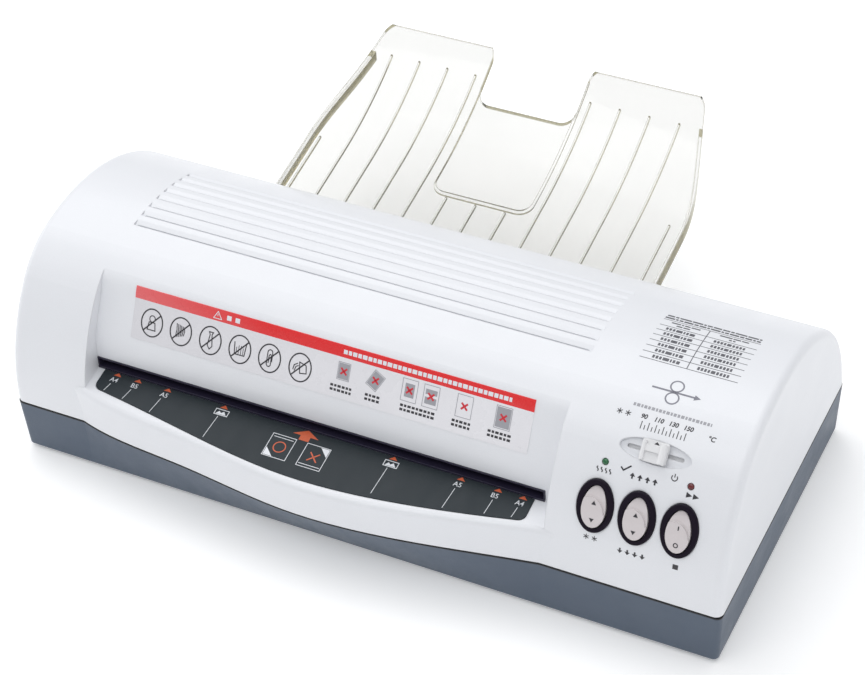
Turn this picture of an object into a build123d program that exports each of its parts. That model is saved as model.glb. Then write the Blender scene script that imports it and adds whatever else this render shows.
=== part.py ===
# A pouch laminator for A4 pouches: dark base, white loaf-shaped cover with a recessed hood over the feed
# slot, three rocker switches, a sliding temperature control, two pairs of driven rollers and a clear
# output tray.  +X runs along the rollers to the control side, +Y to the back, +Z up.  The origin is at
# table height, in the middle of the whole outline.  "Depth" is distance behind the base's front face.
from build123d import *
from math import acos, asin, atan2, cos, pi, radians, sin, sqrt, tan
import os

os.makedirs("parts", exist_ok=True)

# ---- driving dimensions, mm and degrees -------------------------------------------------------------
BODY_WIDTH = 375.0
HALF = BODY_WIDTH / 2
FRONT = -142.35           # y of the base's front face
WALL = 2.5

# cover's end outline: a short upright front, then tangent arcs over the top and down the back
SKIN_START = 36.1
SKIN_ARCS = ((94.1, 40.6), (45.8, 34.2), (107.3, 59.9), (84.0, 32.4))
BASE_BOTTOM = 3.0
SEAM_LOW = 31.7
SEAM_HIGH = 32.4
BASE_DEPTH = 174.3
BASE_INSET = 1.2          # the base's sides lean in by this much at the bottom

# smile-shaped feed lip: x and depth of its edge; both ends run back into the skin
LIP_CURVE = ((-155.0, 2.6), (-148.0, 0.0), (-88.0, -8.7), (-27.0, -16.0), (40.0, -10.9), (98.4, 0.0), (114.0, 2.5))
RIM_DEPTH = 18.0
RIM_HEIGHT = 57.0         # height of the feed surface at RIM_DEPTH
RIM_SLOPE = 10.3

# recess over the feed slot
CHEEK_LEFT = -145.0
CHEEK_RIGHT = 100.5
HOOD_FOOT = 16.0
HOOD_TOP = 33.0
SLOT_LEFT = -145.0
SLOT_RIGHT = 95.0
SLOT_LOW = 57.2
SLOT_HIGH = 63.2
FEED_X = (SLOT_LEFT + SLOT_RIGHT) / 2
LABEL_SPAN = (-125.5, 84.8)
LABEL_RISE = (80.0, 103.7)

# louvres in the top
LOUVRE_LEFT = -143.0
LOUVRE_RIGHT = 99.5
LOUVRE_DEPTHS = [59.4 + 7.23 * n for n in range(8)]

# control panel
SWITCH_X = (123.2, 143.3, 163.6)
SWITCH_NAMES = ("heat", "direction", "power")
SWITCH_DEPTH = 7.3
BEZEL_HALF = 8.9          # half width of a switch bezel
BEZEL_REACH = 13.1        # half length of a switch bezel
ROCKER_HALF = 5.65
ROCKER_PLAY = 0.45
ROCKER_PIVOT = -1.5       # below the bezel's seat plane
LED_DEPTH = 17.7
LED_X = {"green": 123.8, "red": 164.5}
KNOB_X = 144.8
KNOB_DEPTH = 24.0
KNOB_TRAVEL = 10.5
KNOB_SLOT = 2 * (KNOB_TRAVEL + 3)

# rollers: hot pair and pull pair, upper and lower
ROLLER_RADIUS = 11.05
ROLLER_GAP = 0.3
PASS_HEIGHT = (SLOT_LOW + SLOT_HIGH) / 2
AXIS_RISE = ROLLER_RADIUS + ROLLER_GAP / 2
HOT_DEPTH = 62.0
PULL_DEPTH = 102.0
SHAFT_RADIUS = 4.0
RUNNING = 0.05
PLATE_LEFT = -151.0
PLATE_RIGHT = 101.0
PLATE_THICK = 2.0
PLATE_FRONT = 44.0
PLATE_BACK = 124.0
PLATE_TOP = 97.0
FLOOR = BASE_BOTTOM + WALL

# gears
MODULE = 1.4
ROLLER_TEETH = 16
IDLER_TEETH = 24
PINION_TEETH = 10
PRESSURE_ANGLE = radians(25)
TOOTH_THINNING = 0.25
GEAR_LEFT = 105.5
GEAR_FACE = 7.0

# output tray
TRAY_X = -29.0
TRAY_HALF = 110.6
TRAY_DEPTH = 174.0
TRAY_HEIGHT = 44.7
TRAY_SLOPE = 10.5
TRAY_FLAT = 47.6
TRAY_RADIUS = 203.5
TRAY_LENGTH = 135.1
TRAY_THICK = 2.0
RIB_PITCH = 17.1
RIB_RISE = 1.0
SKIRT_DROP = 5.0
NOTCH_HALF = 28.5
NOTCH_DEPTH = 271.3       # where the finger notch ends
PANEL_DEPTH = 212.5       # front edge of the sunken panel that reaches back to the notch
PANEL_STEP = 1.0
CORNER = 8.0              # radius of the notch's corners

# way out at the back: exit slot above, two sockets for the tray below
EXIT_DEPTH = 165.9
EXIT_WIDE = 246.0
EXIT_TALL = 11.0
SOCKET_X = (TRAY_X - 76, TRAY_X + 76)
SOCKET_FRONT = 164.0
SOCKET_MIDDLE = 42.6
SOCKET_WIDE = 41.0
SOCKET_TALL = 8.6


# ---- shared geometry --------------------------------------------------------------------------------
def skin_point(depth):
    """Height of the cover's skin and the direction it climbs in, at a depth."""
    y, z, heading = 0.0, SKIN_START, 90.0
    for radius, sweep in SKIN_ARCS:
        centre_y = y + radius * sin(radians(heading))
        centre_z = z - radius * cos(radians(heading))
        heading -= sweep
        y = centre_y - radius * sin(radians(heading))
        z = centre_z + radius * cos(radians(heading))
        if depth <= y:
            break
    climb = asin((centre_y - depth) / radius)
    return centre_z + radius * cos(climb), climb


def panel_plane(x, depth, lift=0.0):
    """Plane lying on the skin: local x along the machine, local y up the slope, local z outward."""
    height, climb = skin_point(depth)
    out = Vector(0, -sin(climb), cos(climb))
    return Plane(origin=Vector(x, FRONT + depth, height) + out * lift, x_dir=(1, 0, 0), z_dir=out)


def end_plane(x, depth):
    """Plane square to X at a point of the skin: local x up the slope, local y outward."""
    height, climb = skin_point(depth)
    return Plane(origin=(x, FRONT + depth, height), x_dir=(0, cos(climb), sin(climb)), z_dir=(1, 0, 0))


def skin_block(inset, floor):
    """The loaf-shaped block inside the cover's skin, moved in by `inset` all round."""
    with BuildPart() as block:
        with BuildSketch(Plane.YZ):
            with BuildLine():
                start = (FRONT + inset, SKIN_START)
                tangent = (0, 1)
                Line((FRONT + inset, floor), start)
                for radius, sweep in SKIN_ARCS:
                    arc = JernArc(start, tangent, radius - inset, -sweep)
                    start = arc @ 1
                    tangent = arc % 1
                run = (start.Y - floor) * tangent.X / -tangent.Y
                Polyline(start, (start.X + run, floor), (FRONT + inset, floor))
            make_face()
        extrude(amount=HALF - inset, both=True)
    return block.part


def lip_face(inset, back):
    """Plan of the feed lip, its curved edge moved in by `inset`."""
    points = [(x, FRONT + depth + inset) for x, depth in LIP_CURVE]
    with BuildSketch() as plan:
        with BuildLine():
            Spline(*points)
            Polyline(points[-1], (points[-1][0], FRONT + back), (points[0][0], FRONT + back), points[0])
        make_face()
    return plan.sketch


FEED_PLANE = Plane(
    origin=(0, FRONT + RIM_DEPTH, RIM_HEIGHT),
    x_dir=(1, 0, 0),
    z_dir=(0, -sin(radians(RIM_SLOPE)), cos(radians(RIM_SLOPE))),
)


def recess(grow):
    """The open space over the feed surface, its walls moved out by `grow`."""
    top_height, climb = skin_point(HOOD_TOP)
    leave = climb + radians(6)
    stations = (
        (HOOD_FOOT, 66.0, radians(90)),
        (16.95, 74.0, radians(77)),
        (21.8, 86.0, radians(65)),
        (27.7, 97.7, radians(61)),
        (HOOD_TOP, top_height, leave),
    )
    hood = [(FRONT + y + grow * sin(turn), z - grow * cos(turn)) for y, z, turn in stations]
    drop = grow / cos(radians(RIM_SLOPE))
    foot_height = RIM_HEIGHT - drop - (RIM_DEPTH - HOOD_FOOT - grow) * tan(radians(RIM_SLOPE))
    far_height = RIM_HEIGHT - drop - (RIM_DEPTH + 45) * tan(radians(RIM_SLOPE))
    foot = (hood[0][0], foot_height)
    with BuildPart() as space:
        with BuildSketch(Plane.YZ.offset(CHEEK_LEFT - grow)):
            with BuildLine():
                Line(foot, hood[0])
                Spline(*hood, tangents=((0, 1), (cos(leave), sin(leave))))
                Polyline(hood[-1], (FRONT - 45, 135), (FRONT - 45, far_height), foot)
            make_face()
        extrude(amount=CHEEK_RIGHT - CHEEK_LEFT + 2 * grow)
    return space.part


def bar(x_low, x_high, depth_low, depth_high, z_low, z_high):
    """Square-cornered block given by its limits."""
    size = (x_high - x_low, depth_high - depth_low, z_high - z_low)
    middle = ((x_low + x_high) / 2, FRONT + (depth_low + depth_high) / 2, (z_low + z_high) / 2)
    with BuildPart() as block:
        with Locations(middle):
            Box(*size)
    return block.part


def along_x(depth, height, x=0.0):
    """Plane square to X whose origin is on an axis at this depth and height."""
    return Plane(origin=(x, FRONT + depth, height), x_dir=(0, 1, 0), z_dir=(1, 0, 0))


def rod(depth, height, radius, x_low, x_high, bore=0.0):
    """Round bar or tube lying along X."""
    with BuildPart() as piece:
        with BuildSketch(along_x(depth, height, x_low)):
            Circle(radius)
            if bore:
                Circle(bore, mode=Mode.SUBTRACT)
        extrude(amount=x_high - x_low)
    return piece.part


def save(part, name):
    part.label = name
    export_step(part, "parts/" + name + ".step")


def plate_plan(grow):
    """Plan of the dark feed plate, drawn on the feed surface and enlarged by `grow`."""
    spread = 1 / cos(radians(RIM_SLOPE))
    front = [(-141.0 - grow, 3.4)]
    front += [(x, depth + 4.0) for x, depth in LIP_CURVE[2:5]]
    front += [(90.0 + grow, 2.6)]
    front = [(x, (depth - grow - RIM_DEPTH) * spread) for x, depth in front]
    back = (HOOD_FOOT - 1.0 + grow - RIM_DEPTH) * spread
    with BuildSketch() as plan:
        with BuildLine():
            Spline(*front)
            Polyline(front[-1], (front[-1][0], back), (front[0][0], back), front[0])
        make_face()
        fillet(plan.vertices().sort_by(Axis.Y)[:2], radius=4)
    return plan.sketch


# ---- cover ------------------------------------------------------------------------------------------
with BuildPart() as lip:
    with BuildSketch(Plane.XY.offset(SEAM_HIGH)):
        add(lip_face(0, 12))
    extrude(amount=40)
    split(bisect_by=FEED_PLANE, keep=Keep.BOTTOM)
    fillet(lip.edges().filter_by(GeomType.BSPLINE).sort_by(Axis.Z)[-1], radius=3)

with BuildPart() as shell_hollow:
    add(skin_block(WALL, SEAM_HIGH - 1))
    with BuildSketch(Plane.XY.offset(SEAM_HIGH - 1)):
        add(lip_face(WALL, 12))
        # hollow only between the cheeks, so the lip's fading ends stay solid
        with Locations(((CHEEK_LEFT + CHEEK_RIGHT) / 2, FRONT)):
            Rectangle(CHEEK_RIGHT - CHEEK_LEFT, 80, mode=Mode.INTERSECT)
    extrude(amount=35)
    add(recess(WALL), mode=Mode.SUBTRACT)

with BuildPart() as cover:
    add(skin_block(0, SEAM_HIGH))
    end_edges = cover.faces().filter_by(Axis.X).edges().filter_by(lambda e: e.center().Z > SEAM_HIGH + 0.1)
    fillet(end_edges, radius=4)
    add(lip.part)
    add(recess(0), mode=Mode.SUBTRACT)
    add(shell_hollow.part, mode=Mode.SUBTRACT)
    # screw posts on the side walls
    with BuildSketch(Plane.XY.offset(SEAM_HIGH)):
        for side in (-1, 1):
            for post_depth in (26, 148):
                with Locations((side * (HALF - 7), FRONT + post_depth)):
                    Circle(5)
    extrude(amount=20)
    with BuildSketch(Plane.XY.offset(SEAM_HIGH)):
        for side in (-1, 1):
            for post_depth in (26, 148):
                with Locations((side * (HALF - 7), FRONT + post_depth)):
                    Circle(1.5)
    extrude(amount=16, mode=Mode.SUBTRACT)
    # pocket for the dark feed plate, feed slot and exit slot
    with BuildSketch(FEED_PLANE):
        add(plate_plan(0.15))
    extrude(amount=-0.7, mode=Mode.SUBTRACT)
    with BuildSketch(panel_plane(FEED_X, EXIT_DEPTH, 2)):
        Rectangle(EXIT_WIDE, EXIT_TALL)
    extrude(amount=-8, mode=Mode.SUBTRACT)
    with BuildSketch(Plane.XZ.offset(-(FRONT + SOCKET_FRONT - 1))):
        with Locations(*[(x, SOCKET_MIDDLE) for x in SOCKET_X]):
            Rectangle(SOCKET_WIDE, SOCKET_TALL)
    extrude(amount=-14, mode=Mode.SUBTRACT)
    with BuildSketch(Plane.XZ.offset(-(FRONT + 12))):
        with Locations((FEED_X, (SLOT_LOW + SLOT_HIGH) / 2)):
            Rectangle(SLOT_RIGHT - SLOT_LEFT, SLOT_HIGH - SLOT_LOW)
    extrude(amount=-12, mode=Mode.SUBTRACT)
    # louvres: shallow ramps, deepest at the front, with slits at the deep edge
    for depth in LOUVRE_DEPTHS:
        with BuildSketch(end_plane(LOUVRE_LEFT, depth)):
            Polygon((0, 1), (0, -1.3), (4.8, 0.25), (4.8, 1), align=None)
        extrude(amount=LOUVRE_RIGHT - LOUVRE_LEFT, mode=Mode.SUBTRACT)
        slit_pitch = (LOUVRE_RIGHT - LOUVRE_LEFT) / 4
        slit_plane = panel_plane((LOUVRE_LEFT + LOUVRE_RIGHT) / 2, depth)
        with BuildSketch(slit_plane):
            with Locations((0, 0.7)):
                Rectangle(4 * slit_pitch - 3, 1.0)
        extrude(amount=-2.0, mode=Mode.SUBTRACT)
        with BuildSketch(slit_plane):
            with Locations((0, 0.7)):
                with GridLocations(slit_pitch, 1, 4, 1):
                    Rectangle(slit_pitch - 5, 1.0)
        extrude(amount=-6, mode=Mode.SUBTRACT)
    # switch seats and holes
    for x in SWITCH_X:
        with BuildSketch(panel_plane(x, SWITCH_DEPTH, -1.15)):
            Ellipse(BEZEL_HALF + 0.15, BEZEL_REACH + 0.15)
        extrude(amount=4, mode=Mode.SUBTRACT)
        with BuildSketch(panel_plane(x, SWITCH_DEPTH)):
            Ellipse(BEZEL_HALF - 1.2, BEZEL_REACH - 1.2)
        extrude(amount=-8, mode=Mode.SUBTRACT)
    for x in LED_X.values():
        with BuildSketch(panel_plane(x, LED_DEPTH, 2)):
            Circle(1.65)
        extrude(amount=-8, mode=Mode.SUBTRACT)
    # shallow dish for the temperature slide, thickened behind
    with BuildSketch(panel_plane(KNOB_X + 0.3, KNOB_DEPTH, -3.4)):
        Ellipse(19, 7.4)
    extrude(amount=1.7)
    with BuildSketch(panel_plane(KNOB_X + 0.3, KNOB_DEPTH, -1.7)):
        Ellipse(17, 5.4)
    extrude(amount=4, mode=Mode.SUBTRACT)
    with BuildSketch(panel_plane(KNOB_X, KNOB_DEPTH)):
        SlotOverall(KNOB_SLOT, 1.8)
    extrude(amount=-8, mode=Mode.SUBTRACT)
save(cover.part, "cover")

# ---- base -------------------------------------------------------------------------------------------
def base_block(inset, low, high):
    """Tapered box of the base, its walls moved in by `inset`."""
    lean = BASE_INSET * (SEAM_LOW - low) / (SEAM_LOW - BASE_BOTTOM)
    middle = (0, FRONT + BASE_DEPTH / 2)
    with BuildPart() as block:
        with BuildSketch(Plane.XY.offset(high)):
            with Locations(middle):
                RectangleRounded(BODY_WIDTH - 2 * inset, BASE_DEPTH - 2 * inset, 3)
        with BuildSketch(Plane.XY.offset(low)):
            with Locations(middle):
                RectangleRounded(BODY_WIDTH - 2 * inset - 2 * lean, BASE_DEPTH - 2 * inset - 2 * lean, 3)
        loft()
    return block.part


def lip_underside(inset, low, high):
    """Flare that grows from the straight bottom edge to the curved lip, moved in by `inset`."""
    with BuildPart() as flare:
        for level in (low, high):
            reach = (level - BASE_BOTTOM) / (SEAM_LOW - BASE_BOTTOM)
            lean = BASE_INSET * (1 - reach)
            points = [(x, FRONT + depth * reach + lean + inset) for x, depth in LIP_CURVE]
            with BuildSketch(Plane.XY.offset(level)):
                with BuildLine():
                    Spline(*points)
                    Polyline(points[-1], (points[-1][0], FRONT + 8), (points[0][0], FRONT + 8), points[0])
                make_face()
        loft(ruled=True)
    return flare.part


SCREW_SPOTS = [(side * (HALF - 7), FRONT + depth) for side in (-1, 1) for depth in (26, 148)]
FOOT_SPOTS = [(side * (HALF - 24), FRONT + depth) for side in (-1, 1) for depth in (20, 154)]
BOARD_X = 143.0
BOARD_DEPTH = 40.0
BOARD_POSTS = [(BOARD_X + sx * 27, FRONT + BOARD_DEPTH + sy * 19) for sx in (-1, 1) for sy in (-1, 1)]
BOARD_HEIGHT = 14.0
GLAND_X = 150.0
GLAND_HEIGHT = 19.0

with BuildPart() as base:
    add(base_block(0, BASE_BOTTOM, SEAM_LOW))
    add(lip_underside(0, BASE_BOTTOM, SEAM_LOW))
    add(base_block(WALL, FLOOR, SEAM_LOW + 0.01), mode=Mode.SUBTRACT)
    add(lip_underside(WALL, FLOOR, SEAM_LOW + 0.01), mode=Mode.SUBTRACT)
    # screw posts, board posts, vent slots in the floor and the cord hole
    with BuildSketch(Plane.XY.offset(FLOOR - 0.5)):
        with Locations(*SCREW_SPOTS):
            Circle(5)
    extrude(amount=SEAM_LOW - FLOOR + 0.5)
    with BuildSketch(Plane.XY.offset(FLOOR - 0.5)):
        with Locations(*BOARD_POSTS):
            Circle(3.2)
    extrude(amount=BOARD_HEIGHT - FLOOR + 0.5)
    with BuildSketch(Plane.XY.offset(FLOOR - 0.5)):
        with Locations(*BOARD_POSTS):
            Circle(1.1)
    extrude(amount=BOARD_HEIGHT - FLOOR + 1, mode=Mode.SUBTRACT)
    with BuildSketch(Plane.XY.offset(BASE_BOTTOM)):
        with Locations(*SCREW_SPOTS):
            Circle(1.8)
    extrude(amount=SEAM_LOW, mode=Mode.SUBTRACT)
    with BuildSketch(Plane.XY.offset(BASE_BOTTOM)):
        with Locations(*SCREW_SPOTS):
            Circle(3.3)
    extrude(amount=7, mode=Mode.SUBTRACT)
    with BuildSketch(Plane.XY.offset(BASE_BOTTOM)):
        with Locations((FEED_X - 70, FRONT + 84), (FEED_X + 70, FRONT + 84)):
            with GridLocations(9, 1, 7, 1):
                SlotOverall(34, 2.4, rotation=90)
    extrude(amount=WALL, mode=Mode.SUBTRACT)
    with BuildSketch(Plane.XZ.offset(-(FRONT + BASE_DEPTH - 6))):
        with Locations((GLAND_X, GLAND_HEIGHT)):
            Circle(6)
    extrude(amount=-10, mode=Mode.SUBTRACT)
save(base.part, "base")

# ---- feed surface, slot lining and hood label -------------------------------------------------------
with BuildPart() as feed_plate:
    with BuildSketch(FEED_PLANE.offset(-0.7)):
        add(plate_plan(0))
    extrude(amount=1.1)
save(feed_plate.part, "feed_plate")

with BuildPart() as slot_lining:
    add(bar(SLOT_LEFT + 0.05, SLOT_RIGHT - 0.05, 15.4, 22, SLOT_LOW + 0.05, SLOT_HIGH - 0.05))
    add(bar(SLOT_LEFT + 0.7, SLOT_RIGHT - 0.7, 15, 23, SLOT_LOW + 0.7, SLOT_HIGH - 0.7), mode=Mode.SUBTRACT)
    add(bar(SLOT_LEFT + 0.05, SLOT_RIGHT - 0.05, 15.05, 15.95, SLOT_LOW - 0.45, SLOT_LOW + 0.7))
save(slot_lining.part, "slot_lining")

with BuildPart() as hood_label:
    add(recess(0))
    add(recess(-0.25), mode=Mode.SUBTRACT)
    add(bar(*LABEL_SPAN, 15, 40, *LABEL_RISE), mode=Mode.INTERSECT)
save(hood_label.part, "hood_label")

# ---- exit slot frame, tray sockets and the clear output tray ----------------------------------------
with BuildPart() as exit_frame:
    with BuildSketch(panel_plane(FEED_X, EXIT_DEPTH, 0.3)):
        RectangleRounded(EXIT_WIDE + 5, EXIT_TALL + 4, 2)
    extrude(amount=1.2)
    with BuildSketch(panel_plane(FEED_X, EXIT_DEPTH, 0.3)):
        Rectangle(EXIT_WIDE - 0.2, EXIT_TALL - 0.2)
    extrude(amount=-7)
    with BuildSketch(panel_plane(FEED_X, EXIT_DEPTH, 3)):
        Rectangle(EXIT_WIDE - 2.6, EXIT_TALL - 2.4)
    extrude(amount=-14, mode=Mode.SUBTRACT)
save(exit_frame.part, "exit_frame")

TRAY_PITCH = radians(TRAY_SLOPE)


def tray_point(run, lift):
    """Point `run` along the tray's underside from its root, raised square to the sheet by `lift`."""
    bend = max(run - TRAY_FLAT, 0) / TRAY_RADIUS
    flat = min(run, TRAY_FLAT)
    turn = TRAY_PITCH + bend
    y = flat * cos(TRAY_PITCH) + TRAY_RADIUS * (sin(turn) - sin(TRAY_PITCH)) - lift * sin(turn)
    z = flat * sin(TRAY_PITCH) + TRAY_RADIUS * (cos(TRAY_PITCH) - cos(turn)) + lift * cos(turn)
    return (FRONT + TRAY_DEPTH + y, TRAY_HEIGHT + z)


def tray_band(low, high, half, start=-12.0):
    """Strip that follows the tray's curve between two heights above its underside."""
    middle = (TRAY_FLAT + TRAY_LENGTH) / 2
    with BuildPart() as band:
        with BuildSketch(Plane.YZ.offset(TRAY_X)):
            with BuildLine():
                Line(tray_point(start, high), tray_point(TRAY_FLAT, high))
                ThreePointArc(*[tray_point(run, high) for run in (TRAY_FLAT, middle, TRAY_LENGTH)])
                Line(tray_point(TRAY_LENGTH, high), tray_point(TRAY_LENGTH, low))
                ThreePointArc(*[tray_point(run, low) for run in (TRAY_LENGTH, middle, TRAY_FLAT)])
                Polyline(tray_point(TRAY_FLAT, low), tray_point(start, low), tray_point(start, high))
            make_face()
        extrude(amount=half, both=True)
    return band.part


TRAY_ROOT = FRONT + TRAY_DEPTH + 4
TONGUE = (36.0, 30.0)     # the tray's two tongues, width and length


def tray_plan(inset):
    """Tray seen from above, without its notch: straight sides that taper towards the far edge."""
    half = TRAY_HALF - inset
    with BuildSketch() as plan:
        with BuildLine():
            right = ((half, 227), (half - 1.9, 247), (half - 8.2, 271.5), (half - 17.0, 302.5))
            right = [(TRAY_X + x, FRONT + depth) for x, depth in right]
            left = [(2 * TRAY_X - x, y) for x, y in right]
            Line((TRAY_X + half, TRAY_ROOT), right[0])
            Spline(*right, tangents=((0, 1), (-0.27, 0.96)))
            Line(right[-1], left[-1])
            Spline(*left, tangents=((0, 1), (0.27, 0.96)))
            Line(left[0], (TRAY_X - half, TRAY_ROOT))
            Line((TRAY_X - half, TRAY_ROOT), (TRAY_X + half, TRAY_ROOT))
        make_face()
        fillet(plan.vertices().sort_by(Axis.Y)[-2:], radius=12)
    return plan.sketch


def tray_outline():
    """Plan of the tray with its finger notch, all the notch's corners rounded, and its two tongues."""
    with BuildSketch() as plan:
        add(tray_plan(0))
        with Locations((TRAY_X, FRONT + NOTCH_DEPTH + 50)):
            Rectangle(2 * NOTCH_HALF, 100, mode=Mode.SUBTRACT)
        near_notch = plan.vertices().filter_by(lambda v: abs(abs(v.X - TRAY_X) - NOTCH_HALF) < 0.1)
        fillet(near_notch, radius=CORNER)
        with Locations(*[(x, TRAY_ROOT - 12) for x in SOCKET_X]):
            Rectangle(*TONGUE)
    return plan.sketch


def tray_rib(n):
    """Raised rib number `n` from the middle; the outermost and the middle ones stop short."""
    x = TRAY_X + RIB_PITCH * n
    far = {6: TRAY_DEPTH + 53, 1: PANEL_DEPTH - 4.5, 0: PANEL_DEPTH - 4.5}.get(abs(n), 284)
    with BuildPart() as rib:
        add(tray_band(TRAY_THICK - 0.2, TRAY_THICK + RIB_RISE, TRAY_HALF))
        add(bar(x - 0.5, x + 0.5, TRAY_DEPTH + 8, far, 30, 110), mode=Mode.INTERSECT)
    return rib.part


def tray_skirts():
    """Side skirts that hang below the sheet and follow its curved edges."""
    with BuildPart() as skirts:
        add(tray_band(-SKIRT_DROP, 0.1, TRAY_HALF + 1, start=6.0))
        with BuildSketch(Plane.XY.offset(20)):
            add(tray_plan(0))
            add(tray_plan(TRAY_THICK), mode=Mode.SUBTRACT)
        extrude(amount=90, mode=Mode.INTERSECT)
        add(bar(-200, 200, TRAY_DEPTH + 8, 286, 20, 110), mode=Mode.INTERSECT)
    return skirts.part


def panel_band(low, high, grow):
    """Part of the tray's sheet inside the sunken panel's outline, grown by `grow`."""
    long = NOTCH_DEPTH - PANEL_DEPTH + 30
    with BuildPart() as panel:
        add(tray_band(low, high, TRAY_HALF))
        with BuildSketch(Plane.XY.offset(20)):
            with Locations((TRAY_X, FRONT + PANEL_DEPTH + long / 2)):
                RectangleRounded(2 * (NOTCH_HALF - 0.5 + grow), long + 2 * grow, CORNER - 1 + grow)
        extrude(amount=90, mode=Mode.INTERSECT)
    return panel.part


with BuildPart() as output_tray:
    add(tray_band(0, TRAY_THICK, TRAY_HALF + 1))
    add(panel_band(-PANEL_STEP, 0.1, 1.0))
    for rib_number in range(-6, 7):
        add(tray_rib(rib_number))
    add(panel_band(TRAY_THICK - PANEL_STEP, TRAY_THICK + 5, 0), mode=Mode.SUBTRACT)
    with BuildSketch(Plane.XY.offset(20)):
        add(tray_outline())
    extrude(amount=90, mode=Mode.INTERSECT)
    add(tray_skirts())
save(output_tray.part, "output_tray")

# the tongues slide in these sockets
TONGUE_PLAY = 0.4
with BuildPart() as tray_sockets:
    for x in SOCKET_X:
        with Locations((x, FRONT + SOCKET_FRONT + 7, SOCKET_MIDDLE)):
            Box(SOCKET_WIDE - 0.2, 14, SOCKET_TALL - 0.2)
        root = (x, *tray_point(0, TRAY_THICK / 2))
        along = (0, cos(TRAY_PITCH), sin(TRAY_PITCH))
        with BuildSketch(Plane(origin=root, x_dir=(1, 0, 0), z_dir=along)):
            Rectangle(TONGUE[0] + TONGUE_PLAY, TRAY_THICK + TONGUE_PLAY)
        extrude(amount=12.6, both=True, mode=Mode.SUBTRACT)
save(tray_sockets.part, "tray_sockets")

# ---- switches, lamps and temperature slide ----------------------------------------------------------
def egg(half_width, low, high, centre):
    """Egg-shaped outline, widest at `centre` and narrowing upward."""
    with BuildSketch() as outline:
        with BuildLine():
            EllipticalCenterArc((0, centre), half_width, centre - low, start_angle=180, arc_size=180)
            EllipticalCenterArc((0, centre), half_width, high - centre, start_angle=0, arc_size=180)
        make_face()
    return outline.sketch


def switch_side(x, lift=0.0):
    """Plane square to X through a rocker's pivot: local x up the slope, local y outward."""
    side = end_plane(x, SWITCH_DEPTH)
    return Plane(origin=side.origin + side.y_dir * lift, x_dir=side.x_dir, z_dir=(1, 0, 0))


for name, x in zip(SWITCH_NAMES, SWITCH_X):
    with BuildPart() as switch_body:
        with BuildSketch(panel_plane(x, SWITCH_DEPTH, -1.1)):
            Ellipse(BEZEL_HALF, BEZEL_REACH)
        extrude(amount=2.1)
        fillet(switch_body.faces().sort_by(Axis.Z)[-1].edges().sort_by(SortBy.LENGTH)[-1], radius=0.8)
        with BuildSketch(panel_plane(x, SWITCH_DEPTH, -1.0)):
            Ellipse(BEZEL_HALF - 1.35, BEZEL_REACH - 1.35)
        extrude(amount=-12)
        with BuildSketch(panel_plane(x, SWITCH_DEPTH, 2)):
            add(egg(ROCKER_HALF + ROCKER_PLAY, -10.9, 10.6, -1.4))
        extrude(amount=-13.5, mode=Mode.SUBTRACT)
        with BuildSketch(switch_side(x - 6.8, ROCKER_PIVOT)):
            Circle(1.25)
        extrude(amount=13.6, mode=Mode.SUBTRACT)
    save(switch_body.part, "switch_body_" + name)

    # the pressed upper end steps down along an arc round the proud middle
    with BuildPart() as pressed_end:
        with BuildSketch(switch_side(x - 7)):
            with BuildLine():
                Polyline((-2, 1.9), (4.4, 1.5), (11, -0.4), (11, 6), (-2, 6), close=True)
            make_face()
        extrude(amount=14)
        with BuildSketch(panel_plane(x - 1.7, SWITCH_DEPTH, -6)):
            with Locations((0, -3.6)):
                Ellipse(6.9, 8.3)
        extrude(amount=14, mode=Mode.SUBTRACT)

    with BuildPart() as rocker:
        with BuildSketch(panel_plane(x, SWITCH_DEPTH, -5)):
            add(egg(ROCKER_HALF, -10.0, 10.0, -1.4))
        extrude(amount=9)
        add(pressed_end.part, mode=Mode.SUBTRACT)
        # faintly domed face and shallow skirt
        with BuildSketch(switch_side(x - 7)):
            with BuildLine():
                Polyline((-11, 2.1), (-1, 2.6), (5, 2.3), (11, 1.2), (11, 6), (-11, 6), close=True)
            make_face()
            with Locations((-9.5, -5), (9.5, -5)):
                Rectangle(9, 3.4)
        extrude(amount=14, mode=Mode.SUBTRACT)
        with BuildSketch(switch_side(x - 6.6, ROCKER_PIVOT)):
            Circle(1.2)
        extrude(amount=13.2)
    save(rocker.part, "rocker_" + name)

with BuildPart() as switch_terminals:
    for x in SWITCH_X:
        with BuildSketch(panel_plane(x, SWITCH_DEPTH, -13)):
            with GridLocations(7, 8, 2, 2):
                Rectangle(0.8, 4.8)
        extrude(amount=-7)
save(switch_terminals.part, "switch_terminals")

for name, x in LED_X.items():
    with BuildPart() as lamp:
        with BuildSketch(panel_plane(x, LED_DEPTH, 0.4)):
            Circle(1.55)
        extrude(amount=-5.6)
        with BuildSketch(panel_plane(x, LED_DEPTH, -3.4)):
            Circle(2.1)
        extrude(amount=-1.2)
        fillet(lamp.faces().sort_by(Axis.Z)[-1].edges(), radius=1.2)
    save(lamp.part, "lamp_" + name)

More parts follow.
